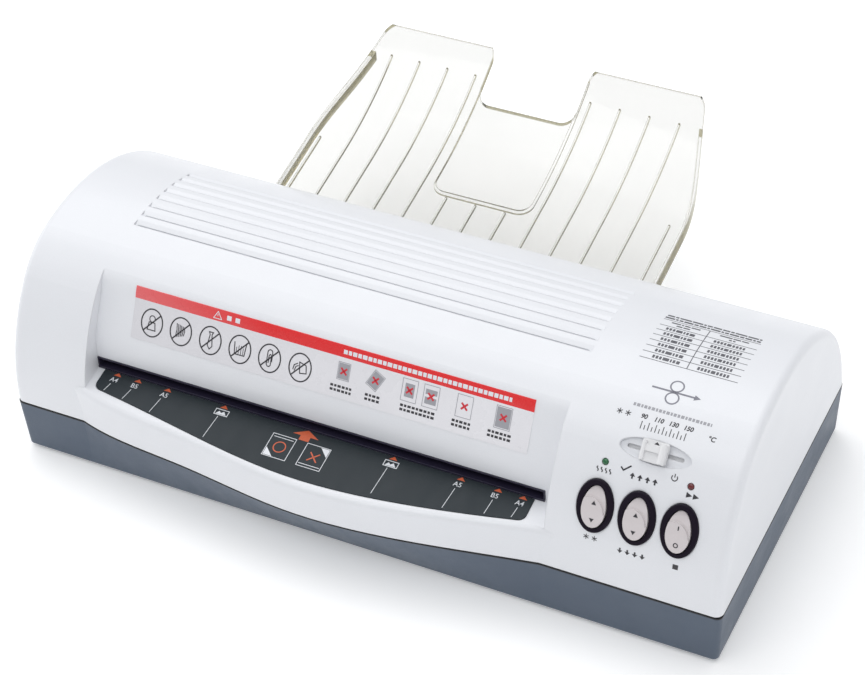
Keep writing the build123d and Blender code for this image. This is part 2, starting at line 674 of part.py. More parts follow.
KNOB_SEAT = panel_plane(KNOB_X, KNOB_DEPTH, 0.5)
KNOB_FACE = panel_plane(KNOB_X, KNOB_DEPTH, 1.4)
with BuildPart() as temperature_knob:
    with BuildSketch(KNOB_SEAT):
        with Locations((0, 0.3)):
            RectangleRounded(12.8, 10.2, 1.4)
    extrude(amount=1.0)
    # a thin ridge and a thick one for the finger, with a bar between them
    with BuildSketch(Plane(origin=KNOB_FACE.origin, x_dir=KNOB_FACE.x_dir, z_dir=-KNOB_FACE.y_dir)):
        with Locations((-5.1, 0)):
            RectangleRounded(2.0, 3.6, 0.95)
        with Locations((4.2, 0)):
            RectangleRounded(3.6, 4.8, 1.75)
        with Locations((0, -3)):
            Rectangle(14, 6, mode=Mode.SUBTRACT)
    extrude(amount=4.5, both=True)
    with BuildSketch(KNOB_FACE):
        with Locations((-0.9, 1.5)):
            RectangleRounded(8.4, 3.2, 0.6)
    extrude(amount=1.2)
    with BuildSketch(KNOB_SEAT):
        Rectangle(4, 1.2)
    extrude(amount=-4.1)
save(temperature_knob.part, "temperature_knob")

# the lever's plate moves under the slot and keeps it closed
with BuildPart() as slide_lever:
    with BuildSketch(panel_plane(KNOB_X, KNOB_DEPTH, -3.6)):
        Rectangle(KNOB_SLOT + 2 * KNOB_TRAVEL + 2, 6)
    extrude(amount=-0.8)
    with BuildSketch(panel_plane(KNOB_X, KNOB_DEPTH, -4.3)):
        Rectangle(4, 1.2)
    extrude(amount=-6.1)
save(slide_lever.part, "slide_lever")

with BuildPart() as slide_control:
    with BuildSketch(panel_plane(KNOB_X + 0.3, KNOB_DEPTH, -6.8)):
        Rectangle(46, 9)
    extrude(amount=-7)
    with BuildSketch(panel_plane(KNOB_X, KNOB_DEPTH, -6)):
        SlotOverall(2 * (2 + KNOB_TRAVEL + 1), 2)
    extrude(amount=-5.5, mode=Mode.SUBTRACT)
save(slide_control.part, "slide_control")

# ---- roller frame -----------------------------------------------------------------------------------
LOWER = PASS_HEIGHT - AXIS_RISE
UPPER = PASS_HEIGHT + AXIS_RISE
BUSH_RADIUS = 6.0
BUSH_FLANGE = 7.0
SLOT_RISE = 20.0
TIE_SPOTS = ((52, 20), (116, 20), (116, 88))
GUIDE_SPAN = (PLATE_LEFT + PLATE_THICK, PLATE_RIGHT)
IDLER_DEPTH = (HOT_DEPTH + PULL_DEPTH) / 2
IDLER_REACH = MODULE * (ROLLER_TEETH + IDLER_TEETH) / 2
IDLER_HEIGHT = LOWER - sqrt(IDLER_REACH**2 - (IDLER_DEPTH - HOT_DEPTH) ** 2)
PINION_REACH = MODULE * (IDLER_TEETH + PINION_TEETH) / 2
PINION_TURN = radians(-15)
PINION_DEPTH = IDLER_DEPTH + PINION_REACH * cos(PINION_TURN)
PINION_HEIGHT = IDLER_HEIGHT + PINION_REACH * sin(PINION_TURN)

for name, left, outer in (("left", PLATE_LEFT, -1), ("right", PLATE_RIGHT, 1)):
    with BuildPart() as side_plate:
        add(bar(left, left + PLATE_THICK, PLATE_FRONT, PLATE_BACK, FLOOR, PLATE_TOP))
        fillet(side_plate.edges().filter_by(Axis.X).group_by(Axis.Z)[-1], radius=8)
        foot_low = left - 9 if outer < 0 else left + PLATE_THICK
        add(bar(foot_low, foot_low + 9, PLATE_FRONT + 4, PLATE_FRONT + 22, FLOOR, FLOOR + PLATE_THICK))
        if outer < 0:
            add(bar(foot_low, foot_low + 9, PLATE_BACK - 22, PLATE_BACK - 4, FLOOR, FLOOR + PLATE_THICK))
        for depth in (HOT_DEPTH, PULL_DEPTH):
            add(rod(depth, LOWER, BUSH_RADIUS + 0.02, left - 1, left + 4), mode=Mode.SUBTRACT)
            add(rod(depth, UPPER, BUSH_RADIUS + 0.05, left - 1, left + 4), mode=Mode.SUBTRACT)
            low, high = depth - BUSH_RADIUS - 0.05, depth + BUSH_RADIUS + 0.05
            add(bar(left - 1, left + 4, low, high, UPPER, UPPER + SLOT_RISE), mode=Mode.SUBTRACT)
    save(side_plate.part, "side_plate_" + name)

with BuildPart() as tie_bars:
    for depth, height in TIE_SPOTS:
        add(rod(depth, height, 3, *GUIDE_SPAN))
save(tie_bars.part, "tie_bars")

with BuildPart() as frame_screws:
    for depth, height in TIE_SPOTS:
        add(rod(depth, height, 3.2, PLATE_LEFT - 2, PLATE_LEFT))
        add(rod(depth, height, 3.2, PLATE_RIGHT + PLATE_THICK, PLATE_RIGHT + PLATE_THICK + 2))
save(frame_screws.part, "frame_screws")

for name, depth in (("hot", HOT_DEPTH), ("pull", PULL_DEPTH)):
    for level, height in (("lower", LOWER), ("upper", UPPER)):
        with BuildPart() as sleeve:
            add(rod(depth, height, ROLLER_RADIUS, SLOT_LEFT, SLOT_RIGHT, bore=SHAFT_RADIUS + 1))
        save(sleeve.part, name + "_sleeve_" + level)
        with BuildPart() as shaft:
            add(rod(depth, height, SHAFT_RADIUS, PLATE_LEFT - 5, GEAR_LEFT + GEAR_FACE + 1))
            add(rod(depth, height, SHAFT_RADIUS + 1, SLOT_LEFT, SLOT_RIGHT))
            fillet(shaft.faces().filter_by(Axis.X).sort_by(Axis.X)[-1].edges(), radius=0.6)
        save(shaft.part, name + "_shaft_" + level)

with BuildPart() as bushes:
    for depth in (HOT_DEPTH, PULL_DEPTH):
        for height in (LOWER, UPPER):
            for left, step in ((PLATE_LEFT, 1), (PLATE_RIGHT, -1)):
                inner = left + PLATE_THICK if step > 0 else left
                outer = inner - step * 4
                flange = inner + step * 1.5
                bore = SHAFT_RADIUS + RUNNING
                add(rod(depth, height, BUSH_RADIUS, min(inner, outer), max(inner, outer), bore))
                add(rod(depth, height, BUSH_FLANGE, min(inner, flange), max(inner, flange), bore))
save(bushes.part, "bushes")

with BuildPart() as pressure_springs:
    for depth in (HOT_DEPTH, PULL_DEPTH):
        for left in (PLATE_LEFT, PLATE_RIGHT):
            seat = UPPER + BUSH_FLANGE + 0.45
            middle = (left + PLATE_THICK / 2, FRONT + depth, seat)
            with BuildLine() as coil:
                Helix(pitch=2.4, height=SLOT_RISE - BUSH_FLANGE - 0.9, radius=2.6, center=middle)
            with BuildSketch(Plane(origin=coil.line @ 0, z_dir=coil.line % 0)):
                Circle(0.4)
            sweep(path=coil.line, is_frenet=True)
save(pressure_springs.part, "pressure_springs")

for level, sign, height in (("lower", -1, LOWER), ("upper", 1, UPPER)):
    near = height + sign * 5.0
    far = height + sign * 16.5
    with BuildPart() as shoe:
        low, high = min(near, far), max(near, far)
        add(bar(*GUIDE_SPAN, HOT_DEPTH - 13, HOT_DEPTH + 13, low, high))
        add(rod(HOT_DEPTH, height, ROLLER_RADIUS + 1.2, PLATE_LEFT, PLATE_RIGHT + 3), mode=Mode.SUBTRACT)
        for end, clear in ((GUIDE_SPAN[0], 1), (GUIDE_SPAN[1], -1)):
            reach = end + clear * 2.5
            add(rod(HOT_DEPTH, height, 9, min(end, reach), max(end, reach)), mode=Mode.SUBTRACT)
            reach = end + clear * 5
            relief = (min(end, reach), max(end, reach), HOT_DEPTH - 5.5, HOT_DEPTH + 5.5, low, high)
            add(bar(*relief), mode=Mode.SUBTRACT)
    save(shoe.part, "heater_shoe_" + level)
    with BuildPart() as strip:
        low, high = min(far, far + sign * 1.6), max(far, far + sign * 1.6)
        add(bar(SLOT_LEFT + 6, SLOT_RIGHT - 6, HOT_DEPTH - 8, HOT_DEPTH + 8, low, high))
    save(strip.part, "heater_strip_" + level)

STRIP_TOP = UPPER + 18.1
with BuildPart() as thermostat:
    with BuildSketch(Plane.XY.offset(STRIP_TOP)):
        with Locations((-60, FRONT + HOT_DEPTH)):
            Circle(7.5)
    extrude(amount=2)
    with BuildSketch(Plane.XY.offset(STRIP_TOP + 2)):
        with Locations((-60, FRONT + HOT_DEPTH)):
            Circle(6)
    extrude(amount=3.4)
save(thermostat.part, "thermostat")

with BuildPart() as thermal_fuse:
    add(rod(HOT_DEPTH, STRIP_TOP + 2, 2, 10, 22))
    add(rod(HOT_DEPTH, STRIP_TOP + 2, 0.5, 4, 28))
save(thermal_fuse.part, "thermal_fuse")

with BuildPart() as heat_shield:
    add(bar(PLATE_LEFT, PLATE_RIGHT + PLATE_THICK, 52, 114, PLATE_TOP, PLATE_TOP + 0.8))
    with BuildSketch(Plane.XY.offset(PLATE_TOP)):
        with Locations((FEED_X, FRONT + 84)):
            with GridLocations(24, 16, 9, 3):
                Circle(3)
    extrude(amount=1, mode=Mode.SUBTRACT)
save(heat_shield.part, "heat_shield")

for name, depth_low, depth_high in (("entry", 22.2, 49.0), ("exit", 116.0, 156.0)):
    with BuildPart() as guide:
        for low, high in ((SLOT_LOW - 2.6, SLOT_LOW - 0.8), (SLOT_HIGH + 0.8, SLOT_HIGH + 2.6)):
            add(bar(*GUIDE_SPAN, depth_low, depth_high, low, high))
        for end, step in ((GUIDE_SPAN[0], 1), (GUIDE_SPAN[1], -1)):
            cheek = end + step * 1.6
            wide = (min(end, cheek), max(end, cheek))
            add(bar(*wide, depth_low, depth_high, SLOT_LOW - 2.6, SLOT_HIGH + 2.6))
    save(guide.part, name + "_guide")


# ---- gears and motor --------------------------------------------------------------------------------
def involute(turn):
    return tan(turn) - turn


def gear(teeth, depth, height, first_tooth, bore):
    """Spur gear on an axis along X; `first_tooth` is the angle of one tooth's middle."""
    pitch = MODULE * teeth / 2
    root, tip = pitch - 1.2 * MODULE, pitch + 0.85 * MODULE
    start = pitch * cos(PRESSURE_ANGLE)
    half_pitch = (pi * MODULE / 2 - TOOTH_THINNING) / (2 * pitch)
    flank = []
    for radius in (root, max(start, root) + 0.05, pitch, tip):
        roll = acos(min(start / radius, 1))
        flank.append((radius, half_pitch + involute(PRESSURE_ANGLE) - involute(roll)))
    corners = []
    for n in range(teeth):
        middle = first_tooth + 2 * pi * n / teeth
        turns = [(radius, middle - half) for radius, half in flank]
        turns += [(radius, middle + half) for radius, half in reversed(flank)]
        corners += [(radius * cos(turn), radius * sin(turn)) for radius, turn in turns]
    with BuildPart() as wheel:
        with BuildSketch(along_x(depth, height, GEAR_LEFT)):
            with BuildLine():
                Polyline(*corners, close=True)
            make_face()
            Circle(bore, mode=Mode.SUBTRACT)
        extrude(amount=GEAR_FACE)
    return wheel.part


def meshed(teeth, first_tooth, mate_teeth, direction):
    """First-tooth angle of a mate lying in `direction`, so that its gap faces this gear's tooth."""
    return direction + pi - (pi - teeth * (direction - first_tooth)) / mate_teeth


IDLER_WAY = atan2(IDLER_HEIGHT - LOWER, IDLER_DEPTH - HOT_DEPTH)
PULL_WAY = atan2(LOWER - IDLER_HEIGHT, PULL_DEPTH - IDLER_DEPTH)
hot_lower_tooth = 0.0
hot_upper_tooth = meshed(ROLLER_TEETH, hot_lower_tooth, ROLLER_TEETH, pi / 2)
idler_tooth = meshed(ROLLER_TEETH, hot_lower_tooth, IDLER_TEETH, IDLER_WAY)
pull_lower_tooth = meshed(IDLER_TEETH, idler_tooth, ROLLER_TEETH, PULL_WAY)
pull_upper_tooth = meshed(ROLLER_TEETH, pull_lower_tooth, ROLLER_TEETH, pi / 2)
pinion_tooth = meshed(IDLER_TEETH, idler_tooth, PINION_TEETH, PINION_TURN)

save(gear(ROLLER_TEETH, HOT_DEPTH, LOWER, hot_lower_tooth, SHAFT_RADIUS), "hot_gear_lower")
save(gear(ROLLER_TEETH, HOT_DEPTH, UPPER, hot_upper_tooth, SHAFT_RADIUS), "hot_gear_upper")
save(gear(ROLLER_TEETH, PULL_DEPTH, LOWER, pull_lower_tooth, SHAFT_RADIUS), "pull_gear_lower")
save(gear(ROLLER_TEETH, PULL_DEPTH, UPPER, pull_upper_tooth, SHAFT_RADIUS), "pull_gear_upper")
save(gear(IDLER_TEETH, IDLER_DEPTH, IDLER_HEIGHT, idler_tooth, 3 + RUNNING), "idler_gear")
save(gear(PINION_TEETH, PINION_DEPTH, PINION_HEIGHT, pinion_tooth, 3), "motor_pinion")

MOTOR_LEFT = 124.0
MOTOR_LENGTH = 32.0
MOTOR_RADIUS = 24.0
MOTOR_HEIGHT = PINION_HEIGHT + 12

with BuildPart() as idler_axle:
    add(rod(IDLER_DEPTH, IDLER_HEIGHT, 3, PLATE_RIGHT + PLATE_THICK, GEAR_LEFT + GEAR_FACE + 2))
    add(rod(IDLER_DEPTH, IDLER_HEIGHT, 5, PLATE_RIGHT + PLATE_THICK, GEAR_LEFT - 0.3))
save(idler_axle.part, "idler_axle")

with BuildPart() as motor_shaft:
    add(rod(PINION_DEPTH, PINION_HEIGHT, 3, GEAR_LEFT - 1, MOTOR_LEFT + 8))
save(motor_shaft.part, "motor_shaft")

with BuildPart() as motor:
    add(rod(PINION_DEPTH, MOTOR_HEIGHT, MOTOR_RADIUS, MOTOR_LEFT, MOTOR_LEFT + MOTOR_LENGTH))
    fillet(motor.faces().filter_by(Axis.X).sort_by(Axis.X)[-1].edges(), radius=2)
    add(rod(PINION_DEPTH, PINION_HEIGHT, 5.5, MOTOR_LEFT - 4, MOTOR_LEFT))
    add(rod(PINION_DEPTH, PINION_HEIGHT, 3 + RUNNING, MOTOR_LEFT - 5, MOTOR_LEFT + 10), mode=Mode.SUBTRACT)
save(motor.part, "motor")

with BuildPart() as motor_bracket:
    add(bar(MOTOR_LEFT - 1.6, MOTOR_LEFT, PINION_DEPTH - 30, PINION_DEPTH + 30, FLOOR, MOTOR_HEIGHT + 18))
    fillet(motor_bracket.edges().filter_by(Axis.X).group_by(Axis.Z)[-1], radius=8)
    add(bar(MOTOR_LEFT, MOTOR_LEFT + 14, PINION_DEPTH - 30, PINION_DEPTH + 30, FLOOR, FLOOR + 1.6))
    add(rod(PINION_DEPTH, PINION_HEIGHT, 5.6, MOTOR_LEFT - 3, MOTOR_LEFT + 1), mode=Mode.SUBTRACT)
save(motor_bracket.part, "motor_bracket")

with BuildPart() as motor_screws:
    for side in (-1, 1):
        add(rod(PINION_DEPTH + side * 18, MOTOR_HEIGHT + 3, 2.8, MOTOR_LEFT - 3.6, MOTOR_LEFT - 1.6))
save(motor_screws.part, "motor_screws")

# ---- control board, cord gland, feet and casing screws ----------------------------------------------
with BuildPart() as control_board:
    with BuildSketch(Plane.XY.offset(BOARD_HEIGHT)):
        with Locations((BOARD_X, FRONT + BOARD_DEPTH)):
            Rectangle(62, 46)
        with Locations(*BOARD_POSTS):
            Circle(1.5, mode=Mode.SUBTRACT)
    extrude(amount=1.6)
save(control_board.part, "control_board")

BOARD_TOP = BOARD_HEIGHT + 1.6
with BuildPart() as board_parts:
    for x, depth, width, long, tall in ((134, 44, 20, 18, 16), (158, 50, 15, 19, 15), (160, 30, 22, 9, 10)):
        with Locations((x, FRONT + depth, BOARD_TOP + tall / 2)):
            Box(width, long, tall)
    with BuildSketch(Plane.XY.offset(BOARD_TOP)):
        with Locations((131, FRONT + 26), (143, FRONT + 26)):
            Circle(4.5)
    extrude(amount=13)
save(board_parts.part, "board_parts")

with BuildPart() as board_screws:
    with BuildSketch(Plane.XY.offset(BOARD_TOP)):
        with Locations(*BOARD_POSTS):
            Circle(2.4)
    extrude(amount=1.6)
save(board_screws.part, "board_screws")

with BuildPart() as cord_gland:
    gland_back = FRONT + BASE_DEPTH - 0.15
    with BuildSketch(Plane.XZ.offset(-gland_back)):
        with Locations((GLAND_X, GLAND_HEIGHT)):
            Circle(8)
    extrude(amount=-2)
    with BuildSketch(Plane.XZ.offset(-(gland_back - 6))):
        with Locations((GLAND_X, GLAND_HEIGHT)):
            Circle(5.9)
    extrude(amount=-6)
    with BuildSketch(Plane.XZ.offset(-(gland_back - 7))):
        with Locations((GLAND_X, GLAND_HEIGHT)):
            Circle(3.3)
    extrude(amount=-10, mode=Mode.SUBTRACT)
save(cord_gland.part, "cord_gland")

with BuildPart() as feet:
    with BuildSketch():
        with Locations(*FOOT_SPOTS):
            Circle(8)
    extrude(amount=BASE_BOTTOM)
    fillet(feet.edges().group_by(Axis.Z)[0], radius=0.8)
save(feet.part, "feet")

with BuildPart() as casing_screws:
    with BuildSketch(Plane.XY.offset(BASE_BOTTOM + 4.6)):
        with Locations(*SCREW_SPOTS):
            Circle(3.0)
    extrude(amount=2.4)
    with BuildSketch(Plane.XY.offset(BASE_BOTTOM + 7)):
        with Locations(*SCREW_SPOTS):
            Circle(1.45)
    extrude(amount=34)
save(casing_screws.part, "casing_screws")
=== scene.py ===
"""Looks of the pouch laminator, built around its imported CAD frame.  Millimetres are turned into metres by MM."""
import math

import bmesh
import bpy
from mathutils import Matrix, Vector
from mathutils.bvhtree import BVHTree


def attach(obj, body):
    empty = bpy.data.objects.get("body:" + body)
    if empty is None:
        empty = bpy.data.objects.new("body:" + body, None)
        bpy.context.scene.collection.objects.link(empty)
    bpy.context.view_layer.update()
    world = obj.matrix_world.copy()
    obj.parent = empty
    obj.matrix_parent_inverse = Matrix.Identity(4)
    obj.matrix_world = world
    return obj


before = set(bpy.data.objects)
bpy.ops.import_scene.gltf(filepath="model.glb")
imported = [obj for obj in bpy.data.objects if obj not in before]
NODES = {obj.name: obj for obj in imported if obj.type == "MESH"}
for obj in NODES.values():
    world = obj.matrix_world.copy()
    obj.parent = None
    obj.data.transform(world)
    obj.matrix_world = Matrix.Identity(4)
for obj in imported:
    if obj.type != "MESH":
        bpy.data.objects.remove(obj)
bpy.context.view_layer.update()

# sizes are in mm and angles in degrees unless a comment says otherwise; depths go back from the front face
MM = 0.001
FRONT = -142.35              # y of the base's front face
SKIN_START = 36.1            # height at which the cover's skin starts, above the front face
SKIN_ARCS = ((94.1, 40.6), (45.8, 34.2), (107.3, 59.9), (84.0, 32.4))    # radius and sweep of each arc, going back
FEED_DEPTH, FEED_HEIGHT = 18.0, 57.0    # a point of the feed plate's face
FEED_SLOPE = math.radians(10.3)
SEAM_SHADE_HEIGHT = 30.9              # height above which the base is painted nearly black, a painted shade for the seam gap under the cover
BAND_FOOT = 98.3             # height of the lower edge of the label's red band
LABEL_LEFT = -126            # x of the label's left end


def add(name, data):
    thing = bpy.data.objects.new(name, data)
    bpy.context.scene.collection.objects.link(thing)
    return thing


# ---- node trees -------------------------------------------------------------------------------------
class Tree:
    """A material's node tree, with short calls for the nodes the finishes are made of."""

    def __init__(self, name):
        self.material = bpy.data.materials.new(name)
        self.material.use_nodes = True
        self.nodes = self.material.node_tree.nodes
        self.links = self.material.node_tree.links
        self.nodes.clear()
        self.bsdf = self.nodes.new("ShaderNodeBsdfPrincipled")
        self.output = self.nodes.new("ShaderNodeOutputMaterial")
        self.links.new(self.bsdf.outputs["BSDF"], self.output.inputs["Surface"])
        self.place = self.nodes.new("ShaderNodeTexCoord").outputs["Object"]

    def put(self, socket, value):
        if isinstance(value, bpy.types.NodeSocket):
            self.links.new(value, socket)
        else:
            socket.default_value = value

    def set(self, **values):
        """Sets or links sockets of the shader; underscores stand for spaces."""
        for name, value in values.items():
            if isinstance(value, tuple) and len(value) == 3:
                value = (*value, 1.0)
            self.put(self.bsdf.inputs[name.replace("_", " ")], value)

    def stretched(self, x, y, z):
        node = self.nodes.new("ShaderNodeMapping")
        self.links.new(self.place, node.inputs["Vector"])
        node.inputs["Scale"].default_value = (x, y, z)
        return node.outputs["Vector"]

    def noise(self, size, detail=2.0, rough=0.5, where=None):
        """Cloudy noise whose features are about `size` mm across."""
        node = self.nodes.new("ShaderNodeTexNoise")
        self.links.new(where or self.place, node.inputs["Vector"])
        node.inputs["Scale"].default_value = 1 / (size * MM)
        node.inputs["Detail"].default_value = detail
        node.inputs["Roughness"].default_value = rough
        return node.outputs["Fac"]

    def cells(self, size):
        node = self.nodes.new("ShaderNodeTexVoronoi")
        self.links.new(self.place, node.inputs["Vector"])
        node.inputs["Scale"].default_value = 1 / (size * MM)
        return node.outputs["Distance"]

    def math(self, operation, a, b=0.0):
        node = self.nodes.new("ShaderNodeMath")
        node.operation = operation
        self.put(node.inputs[0], a)
        self.put(node.inputs[1], b)
        return node.outputs[0]

    def spread(self, value, low, high, to_low, to_high):
        node = self.nodes.new("ShaderNodeMapRange")
        self.put(node.inputs["Value"], value)
        for name, number in (("From Min", low), ("From Max", high), ("To Min", to_low), ("To Max", to_high)):
            node.inputs[name].default_value = number
        return node.outputs["Result"]

    def blend(self, share, first, second):
        node = self.nodes.new("ShaderNodeMix")
        node.data_type = "RGBA"
        self.put(node.inputs[0], share)
        for socket, colour in ((node.inputs[6], first), (node.inputs[7], second)):
            self.put(socket, (*colour, 1.0) if isinstance(colour, tuple) else colour)
        return node.outputs[2]

    def axis(self, name, vector=None):
        node = self.nodes.new("ShaderNodeSeparateXYZ")
        self.links.new(vector or self.place, node.inputs[0])
        return node.outputs[name]

    def normal(self):
        return self.nodes.new("ShaderNodeNewGeometry").outputs["Normal"]

    def rounded(self, radius):
        """Normal softened over edges as if they had this radius."""
        node = self.nodes.new("ShaderNodeBevel")
        node.samples = 4
        node.inputs["Radius"].default_value = radius * MM
        return node.outputs["Normal"]

    def edges(self, radius):
        """About 1 along edges and 0 on flats, from how far the rounded normal turns away."""
        dot = self.nodes.new("ShaderNodeVectorMath")
        dot.operation = "DOT_PRODUCT"
        self.links.new(self.rounded(radius), dot.inputs[0])
        self.links.new(self.normal(), dot.inputs[1])
        return self.spread(dot.outputs["Value"], 0.995, 0.85, 0.0, 1.0)

    def bump(self, height, depth, base=None):
        node = self.nodes.new("ShaderNodeBump")
        node.inputs["Strength"].default_value = 1.0
        node.inputs["Distance"].default_value = depth * MM
        self.put(node.inputs["Height"], height)
        if base:
            self.links.new(base, node.inputs["Normal"])
        return node.outputs["Normal"]


def shade(colour, factor):
    return tuple(min(channel * factor, 1.0) for channel in colour)


def toward(colour, level, share):
    """The colour moved a share of the way to a grey of this level."""
    return tuple(channel + (level - channel) * share for channel in colour)


def plastic(name, colour, rough=0.4, grain=0.3, depth=0.015, mottle=0.02, wear=0.3, edge=0.5, coat=0.0,
            shine=0.5, seam_shade=None):
    """Moulded plastic: cloudy colour, spark-eroded grain, rubbed edges and faint handling marks.

    `grain`, `depth` and `edge` are the size and height of the grain and the radius of the edges, `shine` is the
    strength of the reflections, and above a height of `seam_shade` the colour is painted nearly black, a painted
    shade for the seam gap under the cover.
    """
    tree = Tree(name)
    cloud = tree.noise(28, 3)
    speck = tree.noise(grain * 1.6, 2)
    tone = tree.blend(cloud, shade(colour, 1 - mottle), shade(colour, 1 + mottle))
    tone = tree.blend(tree.spread(speck, 0.35, 0.7, 0.0, 0.12), tone, shade(colour, 0.82))
    rubbed = tree.math("MULTIPLY", tree.edges(edge), tree.spread(tree.noise(6, 4, 0.6), 0.4, 0.65, 0.2, 1.0))
    tone = tree.blend(tree.math("MULTIPLY", rubbed, wear), tone, toward(colour, 1, 0.35))
    # painted shade: above this height the plastic is nearly black, standing in for the shadow inside the seam gap
    if seam_shade:
        tone = tree.blend(tree.math("GREATER_THAN", tree.axis("Z"), seam_shade * MM), tone, (0.004, 0.004, 0.006))
    scuffs = tree.noise(9, 5, 0.7, tree.stretched(1, 0.35, 0.8))
    gloss = tree.math("ADD", tree.spread(scuffs, 0.3, 0.7, rough - 0.06, rough + 0.07),
                      tree.math("MULTIPLY", rubbed, -0.08))
    height = tree.math("ADD", tree.noise(grain, 3, 0.6), tree.math("MULTIPLY", tree.noise(4.5, 1), 0.6))
    tree.set(Base_Color=tone, Roughness=gloss, Normal=tree.bump(height, depth, tree.rounded(edge)),
             IOR=1.49, Specular_IOR_Level=shine, Coat_Weight=coat, Coat_Roughness=0.12)
    return tree.material


def metal(name, colour, rough, along=(0.04, 1.0, 1.0), tarnish=0.15, edge=0.3):
    """Turned or rolled metal: fine lines along one way, cloudy tarnish and bright edges."""
    tree = Tree(name)
    lines = tree.noise(0.25, 3, 0.6, tree.stretched(*along))
    cloud = tree.noise(14, 4, 0.6)
    tone = tree.blend(tree.spread(cloud, 0.35, 0.7, 0.0, 1.0), colour, shade(colour, 1 - tarnish))
    tone = tree.blend(tree.math("MULTIPLY", tree.edges(edge), 0.5), tone, shade(colour, 1.25))
    gloss = tree.math("ADD", tree.spread(lines, 0.3, 0.7, rough - 0.08, rough + 0.1),
                      tree.spread(cloud, 0.4, 0.7, 0.0, 0.12))
    tree.set(Base_Color=tone, Roughness=gloss, Metallic=1.0, Normal=tree.bump(lines, 0.012, tree.rounded(edge)))
    return tree.material


def rubber(name, colour, rough):
    """Matt rubber with a ground surface and pale dust."""
    tree = Tree(name)
    dust = tree.spread(tree.noise(11, 5, 0.65), 0.5, 0.75, 0.0, 0.35)
    ground = tree.noise(0.5, 4, 0.7, tree.stretched(0.4, 1, 1))
    tone = tree.blend(dust, tree.blend(ground, shade(colour, 0.8), shade(colour, 1.2)), (0.35, 0.34, 0.33))
    gloss = tree.spread(ground, 0.3, 0.7, rough - 0.08, rough + 0.12)
    tree.set(Base_Color=tone, Roughness=gloss, Normal=tree.bump(ground, 0.03, tree.rounded(0.4)))
    return tree.material


def circuit_board(name):
    """Green solder mask over copper tracks that run along and across the board."""
    tree = Tree(name)
    ways = [tree.noise(5.0, 0, 0, tree.stretched(*stretch)) for stretch in ((0.15, 1, 1), (1, 0.15, 1))]
    tracks = [tree.math("LESS_THAN", tree.math("ABSOLUTE", tree.math("SUBTRACT", way, 0.5)), 0.02) for way in ways]
    copper = tree.math("MAXIMUM", *tracks)
    green = tree.blend(tree.noise(8, 3), (0.008, 0.09, 0.035), (0.012, 0.13, 0.05))
    tree.set(Base_Color=tree.blend(copper, green, (0.05, 0.26, 0.09)),
             Roughness=tree.spread(tree.noise(2, 3), 0.3, 0.7, 0.22, 0.4),
             Normal=tree.bump(copper, 0.04, tree.rounded(0.3)))
    return tree.material


def lamp_lens(name, colour, deep):
    """Tinted lens: a fine moulded diffuser pattern, deeper in colour between its bumps."""
    tree = Tree(name)
    facets = tree.cells(0.55)
    tone = tree.blend(facets, deep, colour)
    tree.set(Base_Color=tone, Roughness=tree.spread(tree.noise(0.8, 3), 0.3, 0.7, 0.12, 0.3),
             Transmission_Weight=0.25, IOR=1.5, Normal=tree.bump(facets, 0.1, tree.rounded(0.3)),
             Coat_Weight=0.6, Coat_Roughness=0.06)
    return tree.material


def clear_sheet(name):
    """Clear tray plastic: faint warm tint, with painted dark olive shade on its edges and ribs, where light is lost
    inside the sheet.
    """
    tree = Tree(name)
    # painted shade: steep faces and edges turn dark olive, standing in for light lost inside the clear sheet
    upward = tree.axis("Z", tree.normal())
    side = tree.spread(tree.math("ABSOLUTE", upward), 0.25, 0.75, 1.0, 0.0)
    side = tree.math("MAXIMUM", side, tree.math("MULTIPLY", tree.edges(0.9), 0.8))
    streak = tree.noise(1.2, 3, 0.6, tree.stretched(3, 0.25, 1))
    clear = tree.blend(tree.noise(60, 2), (0.835, 0.832, 0.815), (0.810, 0.807, 0.788))
    olive = tree.blend(streak, (0.06, 0.055, 0.03), (0.36, 0.32, 0.16))
    tree.set(Base_Color=tree.blend(side, clear, olive),
             Roughness=tree.spread(tree.noise(18, 5, 0.7), 0.35, 0.75, 0.01, 0.07),
             Transmission_Weight=0.96, IOR=1.25, Specular_IOR_Level=0.6, Normal=tree.bump(tree.noise(22, 2), 0.06))
    return tree.material


def printed_label(name):
    """Glossy film printed with a red band along its top and a pale field below it; toward its left end the band is
    painted pale pink as a painted reflection.
    """
    tree = Tree(name)
    band = tree.math("GREATER_THAN", tree.axis("Z"), BAND_FOOT * MM)
    # painted reflection: the red band turns pale pink toward the label's left end
    pink_reflection = tree.spread(tree.axis("X"), LABEL_LEFT * MM, -55 * MM, 0.0, 1.0)
    dots = tree.noise(0.5, 2)
    red = tree.blend(pink_reflection, (0.78, 0.14, 0.15), (0.76, 0.012, 0.016))
    red = tree.blend(tree.spread(dots, 0.4, 0.7, 0.0, 0.15), red, (0.85, 0.15, 0.12))
    field = tree.spread(tree.axis("X"), LABEL_LEFT * MM, 20 * MM, 0.0, 1.0)
    field = tree.blend(field, (0.72, 0.71, 0.74), (0.84, 0.83, 0.86))
    field = tree.blend(tree.spread(tree.noise(35, 3), 0.3, 0.7, 0.0, 0.3), field, (0.70, 0.69, 0.72))
    field = tree.blend(tree.spread(dots, 0.45, 0.7, 0.0, 0.15), field, (0.69, 0.68, 0.71))
    tree.set(Base_Color=tree.blend(band, field, red),
             Roughness=tree.spread(tree.noise(12, 4), 0.3, 0.7, 0.22, 0.36),
             Normal=tree.bump(tree.noise(16, 2), 0.05), Coat_Weight=0.4, Coat_Roughness=0.1)
    return tree.material


def ink(name, colour, rough=0.45):
    """Screen-printed ink with a slightly uneven coat."""
    tree = Tree(name)
    coat = tree.noise(0.6, 3, 0.6)
    tone = tree.blend(tree.spread(coat, 0.35, 0.7, 0.0, 0.5), colour, toward(colour, 0.6, 0.12))
    tree.set(Base_Color=tone, Roughness=tree.spread(coat, 0.3, 0.7, rough - 0.1, rough + 0.1),
             Normal=tree.bump(coat, 0.01))
    return tree.material


